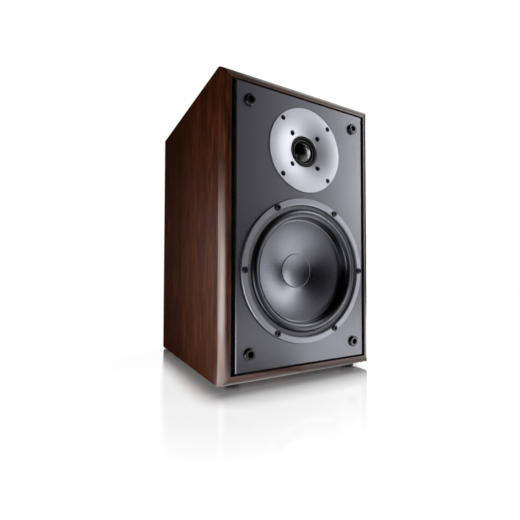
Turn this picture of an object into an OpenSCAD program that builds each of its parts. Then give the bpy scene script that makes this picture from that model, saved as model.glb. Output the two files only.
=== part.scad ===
// Two-way bookshelf loudspeaker with a reflex port in the back.
// Millimetres. +Z is up, the baffle faces -Y, and the origin is the bottom centre of the whole
// speaker, on the surface it stands on. Depths are counted back from the baffle's face.

/* [Cabinet] */
// Width of the cabinet
cab_w = 210; // [206:1:260]
// Height of the cabinet without its feet
cab_h = 336; // [332:1:420]
// Depth of the cabinet from its front edges to its back
cab_d = 249; // [235:1:320]
// Thickness of the cabinet boards
board_t = 16; // [15:0.5:18]
// Radius of the rounded front edges
edge_r = 11; // [7:0.5:12]
// How far the baffle's face stands in front of the frame
baffle_stand = 0.8; // [0.2:0.2:3]
// Width of the shadow groove beside the baffle
groove_side = 5; // [3:0.5:6]
// Width of the shadow groove above and below the baffle
groove_end = 2.3; // [1:0.1:4]
// Depth of the rebate that holds the baffle, from the baffle's face
rebate_d = 12; // [9:1:14]
// Thickness of the baffle's tongue behind the rebate
tongue_t = 8; // [6:1:12]
// How far the rear panel is let in from the back edges
rear_inset = 1; // [0:0.5:4]
// How far the rear panel laps over the boards
rear_lap = 6; // [3:1:8]
// Thickness of the brace shelf
brace_t = 12; // [8:1:16]
// Radius of the brace window's corners
brace_corner_r = 14; // [4:1:30]
// Width of wood left round the brace's window
brace_rim = 27; // [18:1:34]
// Thickness of the wadding sheets
wadding_t = 17; // [8:1:20]

/* [Feet] */
// Height of the feet
foot_h = 5.5; // [3.5:0.5:10]
// Length of a foot's screw in the wood
foot_screw_l = 9; // [6:0.5:12]
// Diameter of a foot
foot_d = 18; // [14:1:24]
// From the cabinet's side and front or back to a foot's centre
foot_inset = 22; // [16:1:32]

/* [Grille sockets] */
// Radius of the socket's flange
socket_r = 6.7; // [5.5:0.1:8]
// Radius of the socket's bore
socket_bore_r = 3.5; // [2:0.1:4]
// Depth of the socket behind the baffle's face
socket_depth = 10; // [6:0.5:14]
// How far the socket stands out of the baffle
socket_proud = 3.2; // [1:0.2:4]
// From the baffle's side to a socket's centre
socket_side = 16; // [12:0.5:17]
// From the baffle's top or bottom to a socket's centre
socket_end = 18.7; // [14:0.1:20]

/* [Tweeter] */
// Height of the baffle above the faceplate
plate_gap = 10.9; // [4:0.1:30]
// Radius of the faceplate
plate_r = 49.5; // [48.8:0.1:50]
// How far the faceplate stands out of the baffle
plate_proud = 1.6; // [1:0.1:4]
// Depth of the recess for the faceplate
plate_recess = 2; // [1.5:0.1:3]
// Width of the faceplate's flat rim
plate_rim = 3.5; // [2:0.1:6]
// Slope of the dish at the throat, in degrees
dish_slope = 17; // [12:1:24]
// Radius of the throat
throat_r = 18.4; // [17:0.1:19]
// Radius of the dome
dome_r = 12.55; // [11:0.05:12.6]
// Height of the dome
dome_rise = 6.2; // [4:0.1:7]
// From the faceplate's edge to its fixing screws
plate_screw_in = 4.4; // [4:0.1:5.5]
// Thickness of the tweeter's magnet
tweeter_magnet_t = 10; // [6:0.5:14]

/* [Woofer] */
// Height of the baffle under the trim ring
ring_low_gap = 23.4; // [10:0.1:40]
// Width of the baffle beside the trim ring
ring_side_gap = 4.8; // [2:0.1:12]
// Least distance between the trim ring and the tweeter's faceplate
driver_gap = 7.7; // [3:0.1:20]
// Width of the trim ring
ring_w = 7.7; // [7.6:0.1:9]
// How far the trim ring stands out of the baffle
ring_proud = 3.5; // [2:0.1:5]
// How far the screw heads stand out of the trim ring
head_proud = 2; // [1:0.1:3]
// Width of the surround's roll
roll_w = 10.8; // [8:0.1:13]
// Outer radius of the spider
spider_r = 49.5; // [44:0.5:52]
// Depth of the cone's rim behind the baffle's face
cone_rim_d = 9.5; // [8.5:0.1:10]
// Slope of the cone at its rim, in degrees
cone_rim_slope = 8; // [5:0.5:10]
// Slope of the cone at its neck, in degrees
cone_neck_slope = 25; // [21:0.5:26]
// Radius of the dust cap
cap_r = 20.8; // [18:0.1:24]
// How far the dust cap's rim stands out of the cone
cap_stand = 1.9; // [1:0.1:2.5]
// Depth of the dust cap's dish
cap_dish = 4.4; // [2:0.1:4.6]
// Inner radius of the voice coil's former
former_r = 12.7; // [12.4:0.1:12.9]
// Length of the winding
winding_l = 10; // [7:0.5:12]
// Radius of the woofer's magnet
magnet_r = 50; // [46:0.5:54]
// Thickness of the woofer's magnet
magnet_t = 18; // [12:0.5:22]
// Pitch radius of the motor's rivets
rivet_pr = 33; // [28:0.5:38]
// Number of windows in the basket
basket_windows = 8; // [6:1:8]

/* [Port and terminals] */
// From the top panel's inside down to the port's axis
port_down = 63; // [56:1:75]
// Inner radius of the port tube
port_r = 25; // [18:0.5:26]
// Length of the port tube
port_l = 120; // [80:1:150]
// Radius of the port's flange
port_flange_r = 41; // [38:0.5:46]
// Height of the terminals' axis above the cabinet's bottom
cup_up = 92; // [86:1:104]
// Width of the terminal cup's flange
cup_w = 108; // [96:1:120]
// Height of the terminal cup's flange
cup_h = 82; // [74:1:92]
// Depth of the terminal cup's pocket
cup_depth = 30; // [28.5:0.5:34]
// Distance between the two binding posts
post_pitch = 19; // [17:0.5:26]
// Radius of a binding post's knob
knob_r = 7; // [6:0.1:7.5]
// Length of a binding post's knob
knob_l = 19; // [14:0.5:20]
// Radius of a binding post's stud
stud_r = 3; // [2.8:0.05:3.2]
// Radius of the bore for a 4 mm plug
plug_r = 2.05; // [2:0.01:2.15]
// Depth of the bore for a 4 mm plug
plug_depth = 20; // [14:0.5:20]

/* [Crossover] */
// Width of the crossover board
xover_w = 90; // [84:1:110]
// Depth of the crossover board
xover_l = 110; // [104:1:116]
// Thickness of the crossover board
xover_t = 1.6; // [1:0.2:2.4]
// Height of the stand-offs under the board
standoff_h = 6; // [4:0.5:10]
// Radius of a conductor with its insulation
wire_r = 1.1; // [0.8:0.1:1.3]

/* [Fits] */
// Gap between a piece and the recess that it lies in
recess_gap = 0.5; // [0.3:0.1:0.8]
// Gap between glued or pushed-in pieces
glue_gap = 0.1; // [0.05:0.05:0.3]
// Gap between a screw's shank and its pilot hole
pilot_gap = 0.05; // [0.02:0.01:0.1]
// Running gap between a knob or washer and its stud
stud_gap = 0.06; // [0.03:0.01:0.09]

/* [Hidden] */
$fn = 96;
eps = 0.01;

// Heights and depths of the cabinet. Depths are behind the baffle's face.
cab_z0 = foot_h;
cab_z1 = foot_h + cab_h;
inner_x = cab_w / 2 - board_t;
inner_z0 = cab_z0 + board_t;
inner_z1 = cab_z1 - board_t;
cab_back = baffle_stand + cab_d;
panel_back = cab_back - rear_inset;
panel_front = panel_back - board_t;
baffle_w = cab_w - 2 * edge_r - 2 * groove_side;
baffle_h = cab_h - 2 * edge_r - 2 * groove_end;
baffle_z0 = cab_z0 + edge_r + groove_end;
baffle_t = rebate_d + tongue_t;
baffle_ease = 0.8;
cup_z = cab_z0 + cup_up;
port_z = inner_z1 - port_down;

// The woofer is as large as the baffle's width, and the height under the tweeter, allow.
room_across = baffle_w - 2 * ring_side_gap;
room_up = baffle_h - ring_low_gap - driver_gap - 2 * plate_r - plate_gap;
ring_r = min(room_across, room_up) / 2;
woofer_z = baffle_z0 + ring_low_gap + ring_r;
tweeter_z = baffle_z0 + baffle_h - plate_gap - plate_r;

// Flanges on the back, and where the baffle's face lies so that the origin is centred.
rear_flange_t = 3;
rear_most = panel_back + rear_flange_t;
front_most = ring_proud + head_proud;
front_y = (front_most - rear_most) / 2;

// Woofer, as depths behind the baffle's face.
basket_front = 2.2;
flange_t = 4;
foam_t = 1;
woofer_recess = basket_front + flange_t + foam_t;
ring_in_r = ring_r - ring_w;
ring_screw_pr = ring_r - ring_w / 2 - 0.1;
skirt_r = ring_in_r - 3.9;
woofer_hole_r = skirt_r + 0.8;
clamp_t = 1.5;
clamp_in_r = ring_in_r - 4.8;
roll_in_r = clamp_in_r - roll_w;
roll_mid_r = clamp_in_r - roll_w / 2;
roll_r = roll_w / 2;
cone_r = roll_in_r - 0.7;
roll_t = 0.7;
skirt_back = 12;
spider_d = 33.8;
basket_back = 45;
coil_plate_t = 6;
magnet_d = basket_back + coil_plate_t;
yoke_d = magnet_d + magnet_t;
yoke_t = 6;
former_t = 0.25;
winding_t = 0.75;
winding_mid = basket_back + coil_plate_t / 2;
gap_hole_r = former_r + former_t + winding_t + 0.6;
pole_r = former_r - 0.5;
neck_r = former_r + former_t + pilot_gap;
cone_t = 0.9;
cone_arc = (cone_r - neck_r) / (sin(cone_neck_slope) - sin(cone_rim_slope));
cap_rim_d = cone_depth(cap_r) - cap_stand;
cap_t = 0.6;
strip_w = 18;
strip_t = 2.2;
strip_r = skirt_r - 0.4;
tab_x = 5.4;
tab_w = 4.8;
tab_t = 0.8;
tab_l = 13;
m4_r = 2;
m4_head_r = 3.4;
m4_head_h = 4;

// Tweeter, as depths behind the baffle's face.
plate_screw_pr = plate_r - plate_screw_in;
dish_r = plate_r - plate_rim;
dish_arc = (dish_r - throat_r) / sin(dish_slope);
throat_d = dish_depth(throat_r);
plate_back = 7;
coil_frame_t = 1;
tweeter_hole_r = plate_screw_pr - 6.1;
coil_frame_r = tweeter_hole_r - 1.5;
tweeter_motor_r = coil_frame_r - 5.5;
motor_screw_pr = (throat_r + tweeter_motor_r) / 2 + 0.2;
tweeter_top_d = plate_back + coil_frame_t;
tweeter_plate_t = 3;
dome_base_d = 5.4;
m3_r = 1.5;
m3_head_r = 2.8;

// Rear fittings, as depths behind the baffle's face.
pocket_w = cup_w - 22;
pocket_h = cup_h - 22;
cup_wall = 2.5;
cup_floor_t = 3;
pocket_floor = rear_most - cup_depth;
collar_t = 2.5;
collar_r = 6.5;
washer_t = 1.5;
washer_d = pocket_floor + collar_t + 0.3;
knob_d = washer_d + washer_t + 0.3;
stud_tip = knob_d + knob_l + 0.4;
tag_t = 0.8;
nut_t = 4;
knob_grooves = 14;

// Crossover on the cabinet's floor.
board_z = inner_z0 + standoff_h;
board_top = board_z + xover_t;
xover_mid = panel_front - 27.8 - xover_l / 2;
front_pads_d = xover_mid - xover_l / 2 + 4;
back_pads_d = xover_mid + xover_l / 2 - 6;
xover_screw_x = xover_w / 2 - 5;
xover_screw_y = xover_l / 2 - 5;
brace_z = woofer_z + woofer_hole_r + 4.6;

// Where the conductors run: x, depth and height, as chosen points.
solder_z = board_top + 0.1;
tag_l = collar_r + 7;
tag_end_z = cup_z - tag_l - 0.05;
input_route = [
    [post_pitch / 2, pocket_floor - cup_floor_t - wire_r - 0.1, tag_end_z],
    [post_pitch / 2, pocket_floor - cup_floor_t - wire_r - 1, tag_end_z - 8],
    [8, 211, 56], [7, 202, 40],
    [7, back_pads_d, board_top + 6], [7, back_pads_d, solder_z]
];
strip_z = woofer_z + strip_r + tab_t / 2;
strip_end_d = baffle_t + 1 + tab_l + 0.1;
woofer_route_a = [
    [-28, front_pads_d, solder_z], [-30, front_pads_d - 1, board_top + 9], [-40, 91, 62], [-58, 86, 110],
    [-54, 84, 155], [-34, 70, 188], [-14, 52, strip_z], [-tab_x, 42, strip_z],
    [-tab_x, strip_end_d, strip_z]
];
woofer_route_b = [
    [-24.5, front_pads_d, solder_z], [-26.5, front_pads_d + 0.5, board_top + 10], [-37, 94, 64], [-55.5, 88.5, 110.5],
    [-51.5, 86.5, 154], [-30.5, 72.5, 187], [-10, 55, strip_z - 0.5], [3, 45, strip_z],
    [tab_x, strip_end_d, strip_z]
];
tab_z = tweeter_z - coil_frame_r + 2.5;
tab_end_d = tweeter_top_d + tab_l + 0.1;
tweeter_route_a = [
    [28, front_pads_d, solder_z], [29, front_pads_d - 1, board_top + 9], [38, 94, 62], [58, 90, 110],
    [56, 88, 165], [48, 82, 208], [34, 60, 232], [12, 40, tab_z], [tab_x, 30, tab_z],
    [tab_x, tab_end_d, tab_z]
];
tweeter_route_b = [
    [24.5, front_pads_d, solder_z], [25.5, front_pads_d + 0.5, board_top + 10], [35, 97, 64], [55.5, 92.5, 110.5],
    [53.5, 90.5, 164], [45.5, 84.5, 207], [30.5, 63, 232], [3, 43, tab_z],
    [-tab_x, 32, tab_z], [-tab_x, tab_end_d, tab_z]
];

// Parts on the crossover board: x, depth, radius and height of the inductors, and x, depth,
// radius and length of the capacitors.
inductors = [[-23, xover_mid - 30, 17, 24], [23, xover_mid - 31, 14, 18]];
capacitor_sizes = [
    [21, xover_mid + 8, 9, 34], [-23, xover_mid + 6, 7.5, 32], [-23, xover_mid + 28, 6, 28]
];
core_r = 6;
bobbin_t = 1.5;

wood = [0.22, 0.13, 0.10];
anthracite = [0.30, 0.30, 0.32];
silver = [0.72, 0.72, 0.75];
cone_grey = [0.42, 0.42, 0.45];
rubber_black = [0.06, 0.06, 0.06];
steel = [0.60, 0.60, 0.62];
gold = [0.80, 0.62, 0.25];

// Depth of the cone's front at radius r.
function cone_depth(r) =
    let (s = asin(sin(cone_rim_slope) + (cone_r - r) / cone_arc))
    cone_rim_d + cone_arc * (cos(cone_rim_slope) - cos(s));

// Depth of the faceplate's dish at radius r.
function dish_depth(r) =
    -plate_proud + dish_arc * (1 - cos(asin(max(0, dish_r - r) / dish_arc)));

// Points on an arc about [cx, cy].
function arc(cx, cy, r, a0, a1, n) =
    [for (i = [0:n]) let (a = a0 + (a1 - a0) * i / n) [cx + r * cos(a), cy + r * sin(a)]];

function reversed(p) = [for (i = [len(p) - 1:-1:0]) p[i]];

// A point between p[i] and p[i + 1] on a smooth curve through all of them.
function between(p, i, t) =
    let (a = p[max(i - 1, 0)], b = p[i], c = p[i + 1], d = p[min(i + 2, len(p) - 1)])
    b + (c - a) * t / 2 + (2 * a - 5 * b + 4 * c - d) * t * t / 2
    + (3 * b - a - 3 * c + d) * t * t * t / 2;

function smooth_path(p, n) = concat(
    [for (i = [0:len(p) - 2]) for (k = [0:n - 1]) between(p, i, k / n)], [p[len(p) - 1]]);

function mirrored(p) = [for (q = p) [-q[0], q[1], q[2]]];

// A frame whose z runs backwards from the baffle's face, on an axis at height z.
module axis_at(z, x = 0) {
    translate([x, front_y, z]) rotate([-90, 0, 0]) children();
}

// A ring between two depths.
module ring(r_out, r_in, d0, d1) {
    translate([0, 0, d0]) difference() {
        cylinder(r = r_out, h = d1 - d0);
        translate([0, 0, -1]) cylinder(r = r_in, h = d1 - d0 + 2);
    }
}

// Copies on a circle.
module around(n, r, start = 0) {
    for (i = [0:n - 1]) rotate([0, 0, start + 360 * i / n]) translate([r, 0, 0]) children();
}

// A slab with four round corners, standing across the axis.
module round_slab(w, h, t, r) {
    for (x = [-1, 1], y = [-1, 1])
        translate([x * (w / 2 - r), y * (h / 2 - r), 0]) cylinder(r = r, h = t);
    translate([-w / 2 + r, -h / 2, 0]) cube([w - 2 * r, h, t]);
    translate([-w / 2, -h / 2 + r, 0]) cube([w, h - 2 * r, t]);
}

// A box given by its corners: x and z in place, y as depths.
module depth_box(x0, x1, d0, d1, z0, z1) {
    translate([x0, front_y + d0, z0]) cube([x1 - x0, d1 - d0, z1 - z0]);
}

// A tube of radius r swept along a path of points with depths for y.
module sweep(path, r) {
    sides = 8;
    n = len(path);
    tangents = [for (i = [0:n - 1]) path[min(i + 1, n - 1)] - path[max(i - 1, 0)]];
    points = [for (i = [0:n - 1])
        let (t = tangents[i] / norm(tangents[i]), u0 = cross(t, [1, 0, 0]),
            u = u0 / norm(u0), v = cross(t, u))
        for (k = [0:sides - 1])
            path[i] + [0, front_y, 0] + r * (u * cos(360 * k / sides) + v * sin(360 * k / sides))];
    skin = [for (i = [0:n - 2]) for (k = [0:sides - 1])
        [i * sides + k, (i + 1) * sides + k,
         (i + 1) * sides + (k + 1) % sides, i * sides + (k + 1) % sides]];
    first_cap = [for (k = [0:sides - 1]) k];
    last_cap = [for (k = [sides - 1:-1:0]) (n - 1) * sides + k];
    polyhedron(points = points, faces = concat(skin, [first_cap, last_cap]));
}

// ---------------------------------------------------------------- cabinet

// Outline of one front edge pair: a rectangle with two rounded front corners.
module rounded_front(low, high) {
    mid = baffle_stand + edge_r;
    translate([low, mid]) square([high - low, cab_back - mid]);
    translate([low + edge_r, baffle_stand]) square([high - low - 2 * edge_r, edge_r + eps]);
    translate([low + edge_r, mid]) circle(r = edge_r);
    translate([high - edge_r, mid]) circle(r = edge_r);
}

// The cabinet's walls in one piece, before the mitres part them.
module cabinet_walls() {
    difference() {
        intersection() {
            translate([0, front_y, cab_z0]) linear_extrude(cab_h)
                rounded_front(-cab_w / 2, cab_w / 2);
            translate([-cab_w / 2, front_y, 0]) rotate([90, 0, 90]) linear_extrude(cab_w)
                mirror([1, -1]) rounded_front(cab_z0, cab_z1);
        }
        depth_box(-inner_x, inner_x, -1, cab_back + 1, inner_z0, inner_z1);
        depth_box(-cab_w / 2 + edge_r, cab_w / 2 - edge_r, -1, rebate_d,
            cab_z0 + edge_r, cab_z1 - edge_r);
        depth_box(-inner_x - rear_lap, inner_x + rear_lap, panel_front, cab_back + 1,
            inner_z0 - rear_lap, inner_z1 + rear_lap);
    }
}

// The part of the walls that lies inside an outline seen from the front.
module wall_within(outline) {
    intersection() {
        cabinet_walls();
        translate([0, front_y + cab_back + 5, 0]) rotate([90, 0, 0])
            linear_extrude(cab_back + 10) polygon(outline);
    }
}

module side_wall(s) {
    color(wood) wall_within([
        [s * (cab_w / 2 + 1), cab_z0 - 1], [s * inner_x, inner_z0],
        [s * inner_x, inner_z1], [s * (cab_w / 2 + 1), cab_z1 + 1]
    ]);
}

module side_panel_left() side_wall(-1);
module side_panel_right() side_wall(1);

module top_panel() {
    color(wood) wall_within([
        [-cab_w / 2 - 1, cab_z1 + 1], [-inner_x, inner_z1],
        [inner_x, inner_z1], [cab_w / 2 + 1, cab_z1 + 1]
    ]);
}

// Where the feet stand: centres as x and depth.
module at_feet() {
    for (x = [-1, 1], d = [baffle_stand + foot_inset, cab_back - foot_inset])
        translate([x * (cab_w / 2 - foot_inset), front_y + d, 0]) children();
}

// Where the crossover's screws stand.
module at_xover_screws() {
    for (x = [-1, 1], d = [-1, 1])
        translate([x * xover_screw_x, front_y + xover_mid + d * xover_screw_y, 0]) children();
}

module bottom_panel() {
    color(wood) difference() {
        wall_within([
            [-cab_w / 2 - 1, cab_z0 - 1], [-inner_x, inner_z0],
            [inner_x, inner_z0], [cab_w / 2 + 1, cab_z0 - 1]
        ]);
        at_feet() translate([0, 0, cab_z0 - 1])
            cylinder(r = m3_r + pilot_gap, h = foot_screw_l + 2);
        at_xover_screws() translate([0, 0, inner_z0 - 8]) cylinder(r = m3_r + pilot_gap, h = 9);
    }
}

module rear_panel() {
    lap = rear_lap - glue_gap;
    color(wood) difference() {
        depth_box(-inner_x - lap, inner_x + lap, panel_front, panel_back,
            inner_z0 - lap, inner_z1 + lap);
        axis_at(port_z) translate([0, 0, panel_front - 1])
            cylinder(r = port_r + 10.5, h = board_t + 2);
        axis_at(cup_z) translate([0, 0, panel_front - 1])
            round_slab(pocket_w + 2 * cup_wall + 2 * glue_gap,
                pocket_h + 2 * cup_wall + 2 * glue_gap, board_t + 2, 6);
        at_cup_screws() translate([0, 0, panel_back - 11])
            cylinder(r = m3_r + pilot_gap, h = 12);
    }
}

module front_baffle() {
    color(anthracite) difference() {
        union() {
            baffle_board();
            depth_box(-inner_x + glue_gap, inner_x - glue_gap, rebate_d - eps, baffle_t,
                inner_z0 + glue_gap, inner_z1 - glue_gap);
        }
        axis_at(woofer_z) {
            translate([0, 0, -1]) cylinder(r = ring_r + recess_gap, h = woofer_recess + 1);
            cylinder(r = woofer_hole_r, h = baffle_t + 1);
            around(6, ring_screw_pr) cylinder(r = m4_r + pilot_gap, h = baffle_t - 1);
        }
        axis_at(tweeter_z) {
            translate([0, 0, -1]) cylinder(r = plate_r + recess_gap, h = plate_recess + 1);
            cylinder(r = tweeter_hole_r, h = baffle_t + 1);
            around(4, plate_screw_pr, 45) cylinder(r = m3_r + pilot_gap, h = baffle_t - 2);
        }
        at_sockets() translate([0, 0, -1])
            cylinder(r = socket_r - 1.9 + pilot_gap, h = socket_depth + 4);
    }
}

// The baffle's board with its front edges eased.
module baffle_board() {
    intersection() {
        translate([0, front_y, baffle_z0]) linear_extrude(baffle_h)
            eased_front(-baffle_w / 2, baffle_w / 2);
        translate([-baffle_w / 2, front_y, 0]) rotate([90, 0, 90]) linear_extrude(baffle_w)
            mirror([1, -1]) eased_front(baffle_z0, baffle_z0 + baffle_h);
    }
}

module eased_front(low, high) {
    polygon([
        [low, rebate_d], [low, baffle_ease], [low + baffle_ease, 0],
        [high - baffle_ease, 0], [high, baffle_ease], [high, rebate_d]
    ]);
}

module brace_shelf() {
    w = inner_x - glue_gap;
    color([0.72, 0.60, 0.42]) difference() {
        depth_box(-w, w, baffle_t, panel_front, brace_z, brace_z + brace_t);
        translate([0, front_y + (baffle_t + panel_front) / 2, brace_z - 1])
            round_slab(2 * (w - brace_rim), panel_front - baffle_t - 2 * brace_rim,
                brace_t + 2, brace_corner_r);
    }
}

module upper_wadding() {
    w = inner_x - 0.3;
    color([0.88, 0.88, 0.85]) difference() {
        depth_box(-w, w, baffle_t + 6, panel_front - 6, brace_z + brace_t + 0.3,
            inner_z1 - 0.3);
        depth_box(-w + wadding_t, w - wadding_t, baffle_t, panel_front, brace_z,
            inner_z1 - 0.3 - wadding_t);
    }
}

module lower_wadding() {
    w = inner_x - 0.3;
    color([0.88, 0.88, 0.85]) for (x = [-w, w - wadding_t])
        depth_box(x, x + wadding_t, baffle_t + 6, panel_front - 6, inner_z0 + 0.3,
            brace_z - 0.3);
}

// ---------------------------------------------------------------- feet and sockets

module feet() {
    color(rubber_black) at_feet() difference() {
        cylinder(r1 = foot_d / 2 - 0.8, r2 = foot_d / 2, h = foot_h);
        translate([0, 0, -1]) cylinder(r = m3_head_r + 0.4, h = 1 + foot_h - 2);
        cylinder(r = m3_r + pilot_gap, h = foot_h + 1);
    }
}

module foot_screws() {
    color(steel) at_feet() {
        translate([0, 0, foot_h - 3.2]) cylinder(r = m3_head_r, h = 1.2);
        translate([0, 0, foot_h - 2.1]) cylinder(r = m3_r, h = 2.1 + foot_screw_l);
    }
}

// Where the grille sockets are.
module at_sockets() {
    for (x = [-1, 1], z = [baffle_z0 + socket_end, baffle_z0 + baffle_h - socket_end])
        axis_at(z, x * (baffle_w / 2 - socket_side)) children();
}

module grille_sockets() {
    color([0.12, 0.12, 0.13]) at_sockets() rotate_extrude() polygon(concat(
        [[socket_bore_r, socket_depth], [socket_bore_r, -socket_proud]],
        arc(socket_r - 1.6, 1.6 - socket_proud, 1.6, -90, 0, 6),
        [[socket_r, 0], [socket_r - 1.9, 0], [socket_r - 1.9, socket_depth]]
    ));
}

// ---------------------------------------------------------------- tweeter

module tweeter_faceplate() {
    dish = [for (i = [0:18]) let (r = throat_r + 0.6 + (dish_r - throat_r - 0.6) * i / 18)
        [r, dish_depth(r)]];
    color(silver) axis_at(tweeter_z) difference() {
        rotate_extrude() polygon(concat(
            [[throat_r, plate_back], [throat_r, throat_d + 0.6]], dish,
            [[plate_r - 0.4, -plate_proud], [plate_r, 0.4 - plate_proud],
             [plate_r, plate_recess], [coil_frame_r + 1, plate_recess],
             [coil_frame_r + 1, plate_back]]
        ));
        around(4, plate_screw_pr, 45) {
            translate([0, 0, -plate_proud - 1]) cylinder(r = m3_r + 0.2, h = 8);
            translate([0, 0, -plate_proud]) cylinder(r1 = 3.1, r2 = m3_r + 0.2, h = 1.6);
            translate([0, 0, -plate_proud - 1]) cylinder(r = 3.1, h = 1 + eps);
        }
        around(4, motor_screw_pr, 45) {
            translate([0, 0, -plate_proud - 1]) cylinder(r = m3_r + 0.2, h = 12);
            translate([0, 0, -plate_proud - 1]) cylinder(r = 3.1, h = plate_proud + 1 + 4);
        }
    }
}

module tweeter_screws() {
    color(rubber_black) axis_at(tweeter_z) around(4, plate_screw_pr, 45) difference() {
        union() {
            translate([0, 0, 0.15 - plate_proud]) cylinder(r1 = 2.9, r2 = m3_r, h = 1.5);
            translate([0, 0, 1.6 - plate_proud])
                cylinder(r = m3_r, h = baffle_t - 2.2 - 1.6 + plate_proud);
        }
        translate([0, 0, -plate_proud - 1]) cylinder(r = 1.1, h = 1.9, $fn = 6);
    }
}

module tweeter_motor_screws() {
    color(rubber_black) axis_at(tweeter_z) around(4, motor_screw_pr, 45) difference() {
        union() {
            translate([0, 0, 1.8]) cylinder(r = m3_head_r, h = 2.2);
            translate([0, 0, 3.9]) cylinder(r = m3_r, h = tweeter_top_d + 2.4 - 3.9);
        }
        translate([0, 0, 1]) cylinder(r = 1.3, h = 2, $fn = 6);
    }
}

module tweeter_coil_frame() {
    ledge_d = dome_base_d + 0.3;
    color(rubber_black) axis_at(tweeter_z) difference() {
        rotate_extrude() polygon([
            [throat_r - 0.1, throat_d + 0.7], [throat_r - 0.1, plate_back],
            [coil_frame_r, plate_back], [coil_frame_r, tweeter_top_d],
            [dome_r + 2.4, tweeter_top_d], [dome_r + 2.4, ledge_d],
            [dome_r + 3.3, ledge_d], [dome_r + 3.3, throat_d + 0.7]
        ]);
        around(4, motor_screw_pr, 45) cylinder(r = m3_r + 0.2, h = 20);
    }
}

module tweeter_surround() {
    mid = dome_r + 1.15;
    color([0.05, 0.05, 0.05]) axis_at(tweeter_z) rotate_extrude() polygon(concat(
        [[dome_r + 3.2, dome_base_d + 0.3], [dome_r + 3.2, dome_base_d]],
        reversed(arc(mid, dome_base_d, 1.15, 180, 360, 10)),
        [[mid - 1.15, dome_base_d + 0.3]],
        arc(mid, dome_base_d + 0.3, 0.9, 180, 360, 10)
    ));
}

module tweeter_dome() {
    sphere_r = (dome_r * dome_r + dome_rise * dome_rise) / (2 * dome_rise);
    t = 0.3;
    a = asin(dome_r / sphere_r);
    b = asin((dome_r - t) / (sphere_r - t));
    mid_d = dome_base_d - dome_rise + sphere_r;
    color([0.04, 0.04, 0.05]) axis_at(tweeter_z) rotate_extrude() polygon(concat(
        arc(0, mid_d, sphere_r, -90, -90 + a, 16),
        [[dome_r, dome_base_d + t], [dome_r - t, dome_base_d + t]],
        reversed(arc(0, mid_d, sphere_r - t, -90, -90 + b, 16))
    ));
}

module tweeter_voice_coil() {
    color([0.70, 0.40, 0.22]) axis_at(tweeter_z) {
        ring(dome_r - 0.1, dome_r - 0.2, dome_base_d + 0.3, tweeter_top_d + tweeter_plate_t + 0.6);
        ring(dome_r + 0.3, dome_r - 0.1 - eps, tweeter_top_d + 0.3,
            tweeter_top_d + tweeter_plate_t - 0.3);
    }
}

module tweeter_top_plate() {
    color(steel) axis_at(tweeter_z) difference() {
        ring(tweeter_motor_r, dome_r + 1, tweeter_top_d, tweeter_top_d + tweeter_plate_t);
        around(4, motor_screw_pr, 45) cylinder(r = m3_r + pilot_gap, h = tweeter_top_d + 2.5);
    }
}

module tweeter_magnet() {
    d = tweeter_top_d + tweeter_plate_t;
    color([0.16, 0.16, 0.17]) axis_at(tweeter_z)
        ring(tweeter_motor_r - 2, dome_r + 5, d, d + tweeter_magnet_t);
}

module tweeter_yoke() {
    d = tweeter_top_d + tweeter_plate_t + tweeter_magnet_t;
    color(steel) axis_at(tweeter_z) union() {
        translate([0, 0, d]) cylinder(r = tweeter_motor_r, h = 4);
        translate([0, 0, tweeter_top_d]) cylinder(r = dome_r - 0.65, h = d - tweeter_top_d + 1);
    }
}

module tweeter_tabs() {
    color(gold) for (x = [-1, 1]) axis_at(tweeter_z, x * tab_x)
        translate([-tab_w / 2, coil_frame_r - 2.5 - tab_t / 2, tweeter_top_d])
            cube([tab_w, tab_t, tab_l]);
}

// ---------------------------------------------------------------- woofer

module woofer_trim_ring() {
    color(silver) axis_at(woofer_z) difference() {
        rotate_extrude() polygon([
            [ring_in_r, basket_front], [ring_in_r, 1.2 - ring_proud],
            [ring_in_r + 1.2, -ring_proud], [ring_r - 0.6, -ring_proud],
            [ring_r, 0.6 - ring_proud], [ring_r, basket_front]
        ]);
        around(6, ring_screw_pr) {
            translate([0, 0, -ring_proud - 1]) cylinder(r = m4_r + 0.3, h = 12);
            translate([0, 0, -ring_proud - 1])
                cylinder(r = m4_head_r + 0.1, h = 1 + m4_head_h - head_proud);
        }
    }
}

module woofer_screws() {
    head = -front_most;
    color(rubber_black) axis_at(woofer_z) around(6, ring_screw_pr) difference() {
        union() {
            translate([0, 0, head]) cylinder(r1 = m4_head_r - 0.5, r2 = m4_head_r, h = 0.5);
            translate([0, 0, head + 0.5]) cylinder(r = m4_head_r, h = m4_head_h - 0.5);
            translate([0, 0, head + m4_head_h - eps])
                cylinder(r = m4_r, h = baffle_t - 2 - head - m4_head_h);
        }
        translate([0, 0, head - 1]) cylinder(r = 1.75, h = 3, $fn = 6);
    }
}

module woofer_clamp_ring() {
    color(cone_grey) axis_at(woofer_z)
        ring(ring_in_r - 0.3, clamp_in_r, basket_front - roll_t - clamp_t,
            basket_front - roll_t);
}

module woofer_foam_gasket() {
    color([0.10, 0.10, 0.10]) axis_at(woofer_z) difference() {
        ring(ring_r - 0.2, woofer_hole_r, woofer_recess - foam_t, woofer_recess);
        around(6, ring_screw_pr) cylinder(r = m4_r + 0.3, h = 20);
    }
}

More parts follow.
